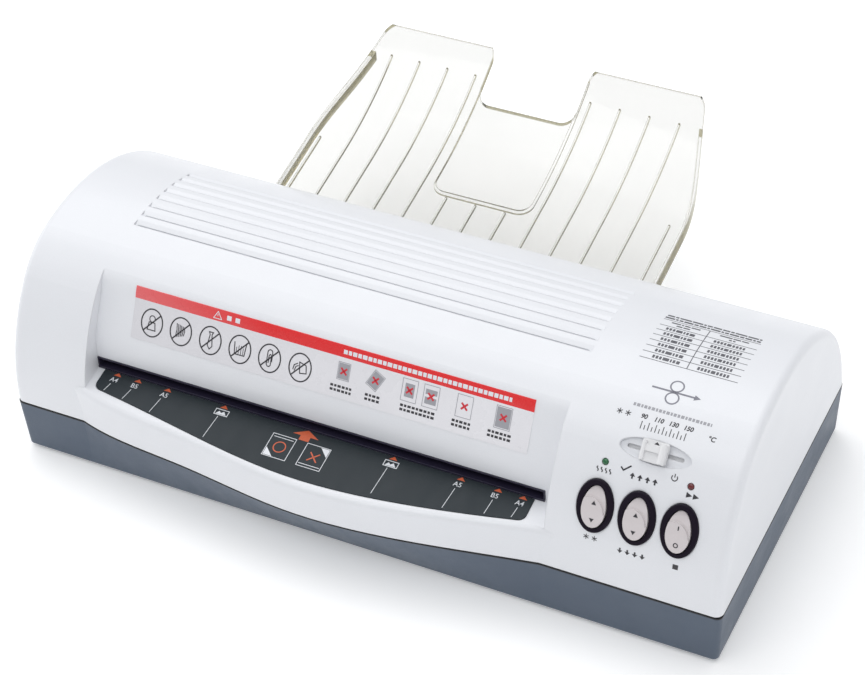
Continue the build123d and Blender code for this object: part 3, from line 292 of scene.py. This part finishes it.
FINISHES = {
    "cover_plastic": plastic("cover_plastic_look", (0.80, 0.81, 0.84), rough=0.38, depth=0.010, mottle=0.012,
                             wear=0.12, edge=0.8, coat=0.12),
    "base_plastic": plastic("base_plastic_look", (0.076, 0.103, 0.146), rough=0.45, grain=0.4, depth=0.03,
                            mottle=0.08, wear=0.35, edge=0.6, seam_shade=SEAM_SHADE_HEIGHT),
    "feed_plate": plastic("feed_plate_look", (0.022, 0.030, 0.036), mottle=0.08, wear=0.2, edge=0.3, shine=0.25),
    "black_plastic": plastic("black_plastic_look", (0.026, 0.022, 0.046), mottle=0.1, edge=0.35, shine=0.3),
    "label": printed_label("label_look"),
    "clear_plastic": clear_sheet("clear_plastic_look"),
    "switch_black": plastic("switch_black_look", (0.009, 0.005, 0.013), rough=0.42, grain=0.35, depth=0.012,
                            mottle=0.1, wear=0.04, edge=0.4, shine=0.12),
    "rocker_plastic": plastic("rocker_plastic_look", (0.66, 0.61, 0.615), rough=0.33, depth=0.010, coat=0.15),
    "lamp_green": lamp_lens("lamp_green_look", (0.02, 0.22, 0.07), (0.005, 0.10, 0.035)),
    "lamp_red": lamp_lens("lamp_red_look", (0.24, 0.015, 0.02), (0.11, 0.005, 0.01)),
    "knob_plastic": plastic("knob_plastic_look", (0.80, 0.80, 0.81), rough=0.35, depth=0.010, wear=0.15, coat=0.1),
    "steel": metal("steel_look", (0.56, 0.57, 0.58), 0.32),
    "screw_steel": metal("screw_steel_look", (0.50, 0.50, 0.51), 0.28, along=(1, 1, 0.05)),
    "spring_steel": metal("spring_steel_look", (0.40, 0.40, 0.41), 0.3, along=(1, 1, 0.2), tarnish=0.25),
    "motor_can": metal("motor_can_look", (0.62, 0.62, 0.60), 0.4, along=(1.0, 0.1, 0.1), tarnish=0.2),
    "aluminium": metal("aluminium_look", (0.74, 0.75, 0.76), 0.42, along=(0.05, 1, 1), tarnish=0.12),
    "brass": metal("brass_look", (0.72, 0.52, 0.22), 0.3, along=(1, 1, 0.1), tarnish=0.25),
    "mica": plastic("mica_look", (0.45, 0.36, 0.24), rough=0.5, grain=1.4, depth=0.03, mottle=0.25, edge=0.3),
    "bush_plastic": plastic("bush_plastic_look", (0.60, 0.57, 0.48), mottle=0.05, wear=0.2, edge=0.3),
    "roller_rubber": rubber("roller_rubber_look", (0.23, 0.045, 0.035), 0.6),
    "gear_plastic": plastic("gear_plastic_look", (0.66, 0.65, 0.60), rough=0.42, depth=0.02, mottle=0.04,
                            wear=0.25, edge=0.2),
    "board": circuit_board("board_look"),
    "board_parts": plastic("board_parts_look", (0.03, 0.035, 0.06), rough=0.35, depth=0.02, mottle=0.2, edge=0.4),
    "rubber": rubber("rubber_look", (0.02, 0.02, 0.021), 0.68),
}
for node in NODES.values():
    for holder in node.material_slots:
        holder.material = FINISHES[holder.material.name.split(".")[0]]

INK_COLOURS = {
    "black": (0.022, 0.020, 0.026),
    "grey": (0.20, 0.20, 0.24),
    "chart": (0.10, 0.10, 0.115),
    "mid_grey": (0.34, 0.34, 0.37),
    "white": (0.78, 0.80, 0.84),
    "orange": (0.62, 0.10, 0.025),
    "red": (0.62, 0.015, 0.03),
}
INKS = {name: ink(f"ink_{name}", colour) for name, colour in INK_COLOURS.items()}


# ---- places on the object ---------------------------------------------------------------------------
SURFACES = {}
AHEAD = 50                   # how far before the front face the rays that find the hood start
PROBE = 1.5                  # how far above and below a place on the hood its slope is taken


def surface_of(node):
    if node not in SURFACES:
        data = NODES[node].data
        SURFACES[node] = BVHTree.FromPolygons([v.co for v in data.vertices], [p.vertices for p in data.polygons])
    return SURFACES[node]


def skin_point(depth):
    """Height of the cover's skin and the angle it climbs at, at a depth."""
    y, z, heading = 0.0, SKIN_START, math.pi / 2
    for radius, sweep in SKIN_ARCS:
        centre_y = y + radius * math.sin(heading)
        centre_z = z - radius * math.cos(heading)
        heading -= math.radians(sweep)
        y = centre_y - radius * math.sin(heading)
        z = centre_z + radius * math.cos(heading)
        if depth <= y:
            break
    climb = math.asin((centre_y - depth) / radius)
    return centre_z + radius * math.cos(climb), climb


def spot(x, depth, height, slope):
    """A place to print at: its origin and its across, up-slope and outward directions."""
    up = Vector((0, math.cos(slope), math.sin(slope)))
    out = Vector((0, -math.sin(slope), math.cos(slope)))
    return Vector((x, FRONT + depth, height)) * MM, Vector((1, 0, 0)), up, out


def on_skin(x, depth):
    return spot(x, depth, *skin_point(depth))


def on_feed(x, depth):
    return spot(x, depth, FEED_HEIGHT + (depth - FEED_DEPTH) * math.tan(FEED_SLOPE), FEED_SLOPE)


def hood_depth(x, height):
    start = Vector((x, FRONT - AHEAD, height)) * MM
    return surface_of("hood_label").ray_cast(start, Vector((0, 1, 0)))[0].y / MM - FRONT


def on_hood(x, height):
    """A place on the hood's label, sloped as the label is there."""
    below, above = hood_depth(x, height - PROBE), hood_depth(x, height + PROBE)
    return spot(x, (below + above) / 2, height, math.atan2(2 * PROBE, above - below))


# ---- printed marks ----------------------------------------------------------------------------------
RING_PARTS = 40
MITRE_LIMIT = 0.35           # least share of a stroke's width left at a sharp corner
STEP = 1.5                   # distance between the cuts that let a mark follow a curved surface
DROP = 25                    # how far off the surface a mark starts
SNAP = 1.5                   # a point that misses the surface may go to one this near


class Print:
    """Flat marks on a local plane, later laid on a surface as a thin closed film."""

    def __init__(self):
        self.mesh = bmesh.new()

    def patch(self, *points):
        self.mesh.faces.new([self.mesh.verts.new((u, v, 0)) for u, v in points])
        return self

    def bar(self, left, right, low, high):
        return self.patch((left, low), (right, low), (right, high), (left, high))

    def line(self, points, width, closed=False):
        """A stroke with mitred corners."""
        count = len(points)
        pairs = []
        for n, here in enumerate(points):
            before = points[n - 1] if n or closed else None
            after = points[(n + 1) % count] if n < count - 1 or closed else None
            ways = [Vector(b) - Vector(a) for a, b in ((before, here), (here, after)) if a and b]
            ways = [way.normalized() for way in ways]
            way = sum(ways, Vector((0, 0))).normalized()
            side = Vector((-way.y, way.x))
            reach = width / 2 / max(side.dot(Vector((-ways[0].y, ways[0].x))), MITRE_LIMIT)
            pairs.append([self.mesh.verts.new((*(Vector(here) + side * reach * sign), 0)) for sign in (1, -1)])
        for n in range(count if closed else count - 1):
            (a, b), (c, d) = pairs[n], pairs[(n + 1) % count]
            self.mesh.faces.new((a, b, d, c))
        return self

    def ring(self, u, v, wide, tall, width):
        turns = [2 * math.pi * n / RING_PARTS for n in range(RING_PARTS)]
        return self.line([(u + wide * math.cos(t), v + tall * math.sin(t)) for t in turns], width, True)

    def text(self, words, size, u, v, lean=0.0, bold=0.0):
        curve = bpy.data.curves.new("lettering", "FONT")
        curve.body = words
        curve.size = size
        curve.shear = lean
        curve.offset = bold
        curve.align_x = "CENTER"
        curve.align_y = "CENTER"
        carrier = add("lettering", curve)
        bpy.context.view_layer.update()
        letters = bpy.data.meshes.new_from_object(carrier)
        letters.transform(Matrix.Translation((u, v, 0)))
        self.mesh.from_mesh(letters)
        bpy.data.objects.remove(carrier)
        bpy.data.curves.remove(curve)
        bpy.data.meshes.remove(letters)
        return self

    def lay(self, name, place, node, finish, slot="label", body="housing", lift=0.03, thick=0.03):
        """Cuts the marks into short steps, gives them thickness and drops them on a node's surface."""
        origin, across, up, out = place
        mesh = self.mesh
        bmesh.ops.remove_doubles(mesh, verts=mesh.verts[:], dist=1e-4)
        heights = [vertex.co.y for vertex in mesh.verts]
        for n in range(math.ceil(min(heights) / STEP), math.floor(max(heights) / STEP) + 1):
            everything = mesh.verts[:] + mesh.edges[:] + mesh.faces[:]
            bmesh.ops.bisect_plane(mesh, geom=everything, dist=1e-5, plane_co=(0, n * STEP, 0), plane_no=(0, 1, 0))
        raised = bmesh.ops.extrude_face_region(mesh, geom=mesh.faces[:], use_keep_orig=True)["geom"]
        for vertex in raised:
            if isinstance(vertex, bmesh.types.BMVert):
                vertex.co.z = thick
        surface = surface_of(node)
        for vertex in mesh.verts:
            u, v, w = vertex.co
            start = origin + (across * u + up * v + out * DROP) * MM
            hit, normal, _, _ = surface.ray_cast(start, -out)
            if hit is None:
                hit, normal, _, away = surface.find_nearest(start - out * DROP * MM)
                if away > SNAP * MM:
                    raise RuntimeError(f"{name}: nothing under the mark at {u:.1f}, {v:.1f}")
            vertex.co = hit + normal * (lift + w) * MM
        bmesh.ops.recalc_face_normals(mesh, faces=mesh.faces[:])
        data = bpy.data.meshes.new(name)
        mesh.to_mesh(data)
        mesh.free()
        data.materials.append(INKS[finish])
        piece = add(name, data)
        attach(piece, body)


def words(marks, left, right, middle, tall, lengths, gap=0.55):
    """A row of short bars in place of a line of words."""
    u, n = left, 0
    while u < right - 0.5:
        reach = min(u + lengths[n % len(lengths)], right)
        marks.bar(u, reach, middle - tall / 2, middle + tall / 2)
        u = reach + gap
        n += 1
    return marks


# ---- control panel: dial, numbers and small signs ---------------------------------------------------
KNOB_X = 144.8
DIAL_LEFT, DIAL_LENGTH, DIAL_STEPS = -10.4, 20.8, 12


def on_cover(name, marks, x, depth, finish="black"):
    marks.lay(name, on_skin(x, depth), "cover", finish)


def snowflakes():
    """Two flakes side by side, for a cold pass."""
    marks = Print()
    for u in (-2.0, 2.0):
        for turn in (0, 60, 120):
            way = Vector((math.sin(math.radians(turn)), math.cos(math.radians(turn)))) * 1.4
            marks.line([(u - way.x, -way.y), (u + way.x, way.y)], 0.38)
    return marks


def waves():
    """Four upright waves, for a hot pass."""
    marks = Print()
    for n in range(4):
        middle = (n - 1.5) * 2.0
        points = [(middle + 0.42 * math.sin(2 * math.pi * t / 8), (t / 8 - 0.5) * 2.2) for t in range(9)]
        marks.line(points, 0.5)
    return marks


def arrows(way):
    """Four arrows side by side, pointing up-slope for way 1 and down-slope for way -1."""
    marks = Print()
    for n in range(4):
        u = (n - 1.5) * 3.6
        marks.patch((u - 1.3 * way, -0.1 * way), (u + 1.3 * way, -0.1 * way), (u, 1.5 * way))
        marks.bar(u - 0.4, u + 0.4, min(-1.3 * way, -0.1 * way), max(-1.3 * way, -0.1 * way))
    return marks


scale = Print()
for tick in range(DIAL_STEPS + 1):
    u = DIAL_LEFT + tick * DIAL_LENGTH / DIAL_STEPS
    scale.bar(u - 0.19, u + 0.19, -1.85, 1.75 if tick % 2 == 0 else 0.25)
on_cover("dial_ticks", scale, KNOB_X + 0.65, 31.9)
numbers = Print()
for n, number in enumerate(("90", "110", "130", "150")):
    numbers.text(number, 3.0, DIAL_LEFT + 7.0 * n, 0, 0.15, 0.085)
on_cover("dial_numbers", numbers, KNOB_X + 0.7, 35.3)

on_cover("sign_cold_scale", snowflakes(), 125.6, 34.9)
on_cover("sign_celsius", Print().text("°C", 3.2, 0, 0, 0.15, 0.08), 167.6, 33.8)
on_cover("sign_heat", waves(), 124.0, 15.5)
ready = Print().line([(-2.2, 0.1), (-0.8, -1.2), (2.4, 1.6)], 0.7)
on_cover("sign_ready", ready, 133.6, 17.6)
power_on = Print().line([(1.35 * math.sin(t / 10), 1.35 * math.cos(t / 10)) for t in range(8, 56, 2)], 0.45)
power_on.bar(-0.22, 0.22, 0.2, 1.9)
on_cover("sign_power", power_on, 156.4, 18.7)
start = Print().patch((-2.9, -1.3), (-0.1, 0), (-2.9, 1.3)).patch((0.3, -1.3), (3.1, 0), (0.3, 1.3))
on_cover("sign_start", start, 166.2, 15.4)
on_cover("sign_forward", arrows(1), 142.8, 16.1)
on_cover("sign_cold", snowflakes(), 122.9, 2.3)
on_cover("sign_backward", arrows(-1), 142.9, 1.9)
on_cover("sign_stop", Print().bar(-1.3, 1.3, -1.3, 1.3), 164.2, 1.9)

# generic sign in place of a badge: a sheet going between two rollers, over a faint row of bars
badge = Print().ring(-1.2, 3.4, 3.0, 3.0, 0.7).ring(-1.2, -3.4, 3.0, 3.0, 0.7)
badge.bar(-12.0, 8.6, -0.45, 0.45).patch((8.2, -1.5), (11.2, 0), (8.2, 1.5))
on_cover("roller_sign", badge, 145.0, 50.0, "grey")
on_cover("sign_underline", words(Print(), -18.6, 18.6, 0, 1.5, (1.1, 1.5, 0.9, 1.3)), 147.0, 39.4, "mid_grey")

# ---- temperature chart: rules, one divider and bars where the entries would be ----------------------
CHART_X, CHART_DEPTH = 144.6, 80.5
CHART_HALF = 23.6
CHART_TOP = 14.6
CHART_BODY = CHART_TOP - 5.4            # the rule under the chart's head
CHART_ROW, CHART_ROWS = 4.2, 6
RULE = 0.16                             # half a rule's width
CHART_HEAD = (                          # left, right, height over the top rule, height and lengths of the bars
    (-23.0, 23.0, 3.9, 1.15, (3.4, 1.6, 5.6, 5.0, 1.2, 2.4, 4.0)),
    (-23.4, 23.0, 1.75, 1.15, (4.6, 1.2, 1.8, 4.4, 2.0, 3.2, 1.2)),
    (-19.0, -5.0, -1.7, 0.9, (4.4, 1.0, 2.6)),
    (-16.0, -9.0, -3.6, 0.9, (2.8, 3.2)),
    (4.5, 18.5, -1.7, 0.9, (6.0, 3.6)),
    (9.5, 13.0, -3.6, 0.9, (1.4, 1.2)),
)
chart = Print()
for v in (CHART_TOP, *(CHART_BODY - row * CHART_ROW for row in range(CHART_ROWS + 1))):
    chart.bar(-CHART_HALF, CHART_HALF, v - RULE, v + RULE)
chart.bar(-1.0, -0.6, CHART_BODY - CHART_ROWS * CHART_ROW, CHART_TOP)
on_cover("chart_rules", chart, CHART_X, CHART_DEPTH, "chart")
entries = Print()
for left, right, rise, tall, lengths in CHART_HEAD:
    words(entries, left, right, CHART_TOP + rise, tall, lengths)
for row in range(CHART_ROWS):
    v = CHART_BODY - (row + 0.5) * CHART_ROW
    words(entries, -19.6 + 0.3 * row, -5.0, v, 1.9, (1.1, 1.1, 1.1, 3.0, 0.8, 1.1, 2.4))
    words(entries, 3.6, 19.0, v, 1.9, (1.1, 1.1, 1.1, 1.0, 2.0, 1.1, 1.1, 1.1, 1.0))
on_cover("chart_entries", entries, CHART_X, CHART_DEPTH, "chart")


# ---- hood label: slashed rings over plain shapes, sheets with a cross, bars in place of words -------
RING_ROW, SHEET_ROW, CAPTION_ROW, BAND_ROW = 89.0, 92.2, 85.4, 101.0    # heights of the rows of marks


def on_label(name, marks, x, height, finish="black", **film):
    marks.lay(name, on_hood(x, height), "hood_label", finish, **film)


def block_shape(marks):
    marks.ring(0, 2.0, 1.5, 1.6, 0.5).line([(-2.2, -3.6), (-1.6, 0.2), (1.6, 0.2), (2.2, -3.6)], 0.5, True)


def striped_shape(marks):
    for n in range(6):
        u = -2.6 + n * 0.85
        marks.line([(u, -3.4 + 0.3 * n), (u + 0.4, 0.4), (u + 0.1, 3.6 - 0.2 * n)], 0.45)


def kite_shape(marks):
    marks.line([(-1.1, 4.2), (1.1, 4.2), (0.5, 2.9), (1.3, -2.6), (0, -4.3), (-1.3, -2.6), (-0.5, 2.9)], 0.5, True)


def comb_shape(marks):
    marks.line([(-3.2, 3.2), (-2.6, -2.8), (2.6, -2.8), (3.2, 3.2)], 0.5)
    for n in range(4):
        marks.line([(-1.8 + n * 1.2, -2.8), (-1.8 + n * 1.2, 2.4 - abs(n - 1.5))], 0.32)


def loop_shape(marks):
    outer = [(1.3 * math.cos(t), 3.0 + 1.3 * math.sin(t)) for t in (0, 0.8, 1.6, 2.4, 3.14)]
    inner = [(-1.3, -3.2), (-0.7, -4.0), (0.3, -4.0), (0.9, -3.2), (0.9, 1.4), (0.3, 2.0), (-0.4, 1.4),
             (-0.4, -2.4)]
    marks.line([(1.3, -1.6), *outer, *inner], 0.5)


def card_shape(marks):
    marks.line([(-0.6, 2.6), (3.0, 1.6), (3.6, -2.2), (0.2, -2.8)], 0.5, True)
    marks.line([(-3.6, -1.8), (-3.2, 0.6), (-1.4, 1.8)], 0.5).line([(-2.8, -2.2), (-2.2, 0.0), (-0.8, 0.8)], 0.45)


def cross(marks, u, v, size, width):
    for sign in (1, -1):
        marks.line([(u - size, v - size * sign), (u + size, v + size * sign)], width)
    return marks


def turned(points, turn):
    """Points turned around the origin."""
    lean = Matrix.Rotation(math.radians(turn), 2)
    return [tuple(lean @ Vector(point)) for point in points]


RINGS = (
    (-114.8, block_shape), (-98.7, striped_shape), (-82.4, kite_shape),
    (-66.2, comb_shape), (-50.1, loop_shape), (-33.7, card_shape),
)
for n, (x, shape) in enumerate(RINGS):
    marks = Print().ring(0, 0, 5.8, 6.9, 0.68).line([(-4.2, -4.5), (4.2, 4.5)], 0.7)
    shape(marks)
    on_label(f"no_sign_{n + 1}", marks, x, RING_ROW - 0.1 * n, lift=0.02)

FILLED = ((0.9, -0.9, 0.9),)
SHEETS = (                   # x, turn, half width, half height, and blocks in shares of the two: width, foot and top
    (-11.2, 0, 3.1, 4.3, FILLED),
    (5.4, -28, 3.1, 4.3, FILLED),
    (23.0, 0, 3.9, 5.4, ((0.62, -0.62, 0.62),)),
    (34.0, 0, 3.9, 5.4, ((0.75, -0.7, -0.1), (0.75, 0.15, 0.62))),
    (51.0, 0, 3.9, 5.4, ()),
    (70.6, 0, 3.9, 5.4, FILLED),
)
for n, (x, turn, half, tall, blocks) in enumerate(SHEETS):
    corners = turned(((-half, -tall), (half, -tall), (half, tall), (-half, tall)), turn)
    on_label(f"sheet_outline_{n + 1}", Print().line(corners, 0.28, True), x, SHEET_ROW, "mid_grey", lift=0.02)
    if blocks:
        fill = Print()
        for wide, low, high in blocks:
            fill.patch(*turned(((-half * wide, tall * low), (half * wide, tall * low),
                                (half * wide, tall * high), (-half * wide, tall * high)), turn))
        on_label(f"sheet_fill_{n + 1}", fill, x, SHEET_ROW, "mid_grey", lift=0.015, thick=0.02)
    on_label(f"sheet_cross_{n + 1}", cross(Print(), 0, 0, 1.55, 0.95), x, SHEET_ROW, "red", lift=0.04)
captions = Print()
for x, half in ((-11.5, 5.5), (5.4, 4.2), (28.5, 9.0), (51.0, 5.0), (70.4, 6.2)):
    for v in (0, -2.1):
        words(captions, x - half, x + half, v, 1.2, (1.5, 1.2, 1.7))
on_label("sheet_captions", captions, 0, CAPTION_ROW, lift=0.02)
band_marks = words(Print(), -14.0, 72.0, 0, 2.1, (2.0, 1.7, 2.2, 1.8, 2.4))
on_label("band_bars", band_marks, 1.5, BAND_ROW, "white", lift=0.02)
caution = Print().line([(-2.2, -1.7), (2.2, -1.7), (0, 1.9)], 0.35, True).bar(-0.16, 0.16, -0.4, 0.8)
caution.bar(5.0, 7.4, -1.2, 1.2).bar(9.6, 12.0, -1.2, 1.2)
on_label("band_sign", caution, -80.0, BAND_ROW, "white", lift=0.02)


# ---- feed plate: size marks, guide lines, way-in arrow and two sheet signs --------------------------
PLATE_MIDDLE = -27.3
PLATE_MARKS = (              # x of the mark, its paper size or nothing for a picture, x of its guide line's front end
    (-132.9, "A4", -135.2), (-121.2, "B5", -123.8), (-104.4, "A5", -107.0), (-72.8, "", -74.6),
    (18.4, "", 16.6), (53.5, "A5", 51.5), (72.4, "B5", 71.2), (85.0, "A4", 83.8),
)
PLATE_EDGE = ((-141.0, 3.4), (-88.0, -4.7), (-27.0, -12.0), (40.0, -6.9), (90.0, 2.6))    # x and depth
GUIDE_HEAD, GUIDE_START = 14, 8.2       # depths that a guide line points at and starts from


def on_plate(name, marks, x, depth, finish):
    marks.lay(name, on_feed(x, depth), "feed_plate", finish, lift=0.02)


def plate_edge(x):
    """Depth of the plate's front edge."""
    for (left, first), (right, second) in zip(PLATE_EDGE, PLATE_EDGE[1:]):
        if x <= right:
            return first + (second - first) * (x - left) / (right - left)


triangles, codes, guides = Print(), Print(), Print()
for x, code, foot in PLATE_MARKS:
    triangles.patch((x - 2.1, 13.2), (x + 2.1, 13.2), (x, 15.2))
    if code:
        codes.text(code, 3.7, x - 0.5, 10.6, 0.0, 0.02)
    else:
        codes.line([(x - 3.5, 9.1), (x + 3.5, 9.1), (x + 3.5, 12.3), (x - 3.5, 12.3)], 0.4, True)
        codes.patch((x - 2.8, 9.5), (x + 2.8, 9.5), (x + 1.1, 11.5), (x - 0.2, 10.3), (x - 1.3, 11.3))
    back = (x - (x - foot) * (GUIDE_HEAD - GUIDE_START) / GUIDE_HEAD, GUIDE_START)
    guides.line([back, (foot, plate_edge(foot) + 0.8)], 0.28)
on_plate("size_triangles", triangles, 0, 0, "orange")
on_plate("size_codes", codes, 0, 0, "white")
on_plate("size_lines", guides, 0, 0, "white")
arrow = Print().patch((-6.8, 11.6), (6.8, 11.6), (0, 15.2)).bar(-2.6, 2.6, 8.9, 11.6)
on_plate("way_in_arrow", arrow, PLATE_MIDDLE, 0, "orange")
sheets = Print()
for x in (-9.4, 9.0):
    sheets.line([(x - 6.2, -5.9), (x + 6.2, -5.9), (x + 6.2, 7.4), (x - 6.2, 7.4)], 0.32, True)
sheets.patch((-15.2, -5.5), (-10.4, -5.5), (-15.2, -1.0)).patch((14.8, 7.0), (10.2, 7.0), (14.8, 2.4))
sheets.line([(-14.6, 5.9), (-4.2, 5.9)], 0.32).line([(3.4, -4.4), (14.6, -4.4)], 0.32)
on_plate("sheet_signs", sheets, PLATE_MIDDLE, 1.0, "white")
answers = cross(Print().ring(-9.2, 0.6, 3.0, 3.0, 0.55), 9.0, 0.6, 2.5, 0.65)
on_plate("sheet_answers", answers, PLATE_MIDDLE, 1.0, "orange")


# ---- symbols on the rockers and the pointer on the temperature knob ---------------------------------
SWITCH_X = {"heat": 123.2, "direction": 143.3, "power": 163.6}
SWITCH_DEPTH = 7.3
KNOB_DEPTH = 24.0


def on_rocker(switch, marks):
    marks.lay(f"rocker_marks_{switch}", on_skin(SWITCH_X[switch], SWITCH_DEPTH), f"rocker_{switch}", "black",
              "rocker_plastic", f"{switch}_rocker")


for switch in ("heat", "direction"):
    on_rocker(switch, Print().patch((-1.15, 1.4), (1.15, 1.4), (0, 3.4)).patch((-1.15, -5.4), (0, -7.4), (1.15, -5.4)))
on_rocker("power", Print().bar(-0.3, 0.3, 1.2, 3.2).ring(0, -6.2, 0.95, 1.0, 0.5))
pointer = Print().patch((-1.3, 3.6), (1.3, 3.6), (0, 4.9))
pointer.lay("knob_pointer", on_skin(KNOB_X + 0.4, KNOB_DEPTH), "temperature_knob", "black", "knob_plastic",
            "temperature_slide")


# ---- floor, light and camera, in metres -------------------------------------------------------------
FLOOR_SIZE, FLOOR_CELLS = 4.0, 8
LIGHTS = (                   # name, place, what it is aimed at, width and height, power in watts
    ("key", (-0.9, 0.7, 1.9), (0, 0, 0.05), (1.6, 1.6), 14.5),
    ("front_fill", (-0.2, -1.15, 1.9), (0, -0.05, 0.08), (1.6, 1.0), 8.5),
    ("top_fill", (0.4, 0.3, 2.2), (0, 0, 0), (2.2, 2.2), 11.5),
    ("right_fill", (1.7, -0.3, 0.8), (0.1, 0, 0.05), (1.2, 1.2), 3.0),
    ("left_fill", (-1.8, -0.2, 0.8), (-0.1, 0, 0.05), (1.2, 1.2), 6.0),
)
LENS, SENSOR = 101.47, 36.0  # mm, fitted to the photograph like the camera's place and its three directions
CAMERA_PLACE = (0.42033, -0.85509, 0.84923)
ACROSS = Vector((0.9018854, 0.4300914, -0.0402991))
UPWARD = Vector((-0.2544918, 0.6043969, 0.7549426))
BACKWARD = Vector((0.3490510, -0.6706159, 0.6545515))


def floor_look():
    tree = Tree("floor_look")
    tree.set(Base_Color=tree.blend(tree.noise(300, 2), (0.93, 0.93, 0.93), (0.95, 0.95, 0.95)),
             Roughness=tree.spread(tree.noise(40, 3), 0.3, 0.7, 0.55, 0.65), Specular_IOR_Level=0.2,
             Emission_Color=(1.0, 1.0, 1.0, 1.0), Emission_Strength=0.22)
    return tree.material


ground = bmesh.new()
bmesh.ops.create_grid(ground, x_segments=FLOOR_CELLS, y_segments=FLOOR_CELLS, size=FLOOR_SIZE)
floor_mesh = bpy.data.meshes.new("floor")
ground.to_mesh(floor_mesh)
ground.free()
floor_mesh.materials.append(floor_look())
floor = add("floor", floor_mesh)

world = bpy.data.worlds.new("studio")
world.use_nodes = True
background = world.node_tree.nodes["Background"].inputs
background["Color"].default_value = (0.95, 0.97, 1.0, 1.0)
background["Strength"].default_value = 0.48
bpy.context.scene.world = world

for name, place, target, size, power in LIGHTS:
    light = bpy.data.lights.new(name, "AREA")
    light.shape = "RECTANGLE"
    light.size, light.size_y = size
    light.energy = power
    lamp = add(name, light)
    lamp.location = place
    lamp.rotation_mode = "QUATERNION"
    lamp.rotation_quaternion = (Vector(target) - Vector(place)).to_track_quat("-Z", "Y")

bpy.context.scene.view_settings.view_transform = "Standard"
camera = add("camera", bpy.data.cameras.new("camera"))
camera.data.sensor_width = SENSOR
camera.data.lens = LENS
camera.data.clip_start, camera.data.clip_end = 0.05, 20.0
turn = Matrix((ACROSS, UPWARD, BACKWARD)).transposed().to_4x4()
camera.matrix_world = Matrix.Translation(CAMERA_PLACE) @ turn
bpy.context.scene.camera = camera
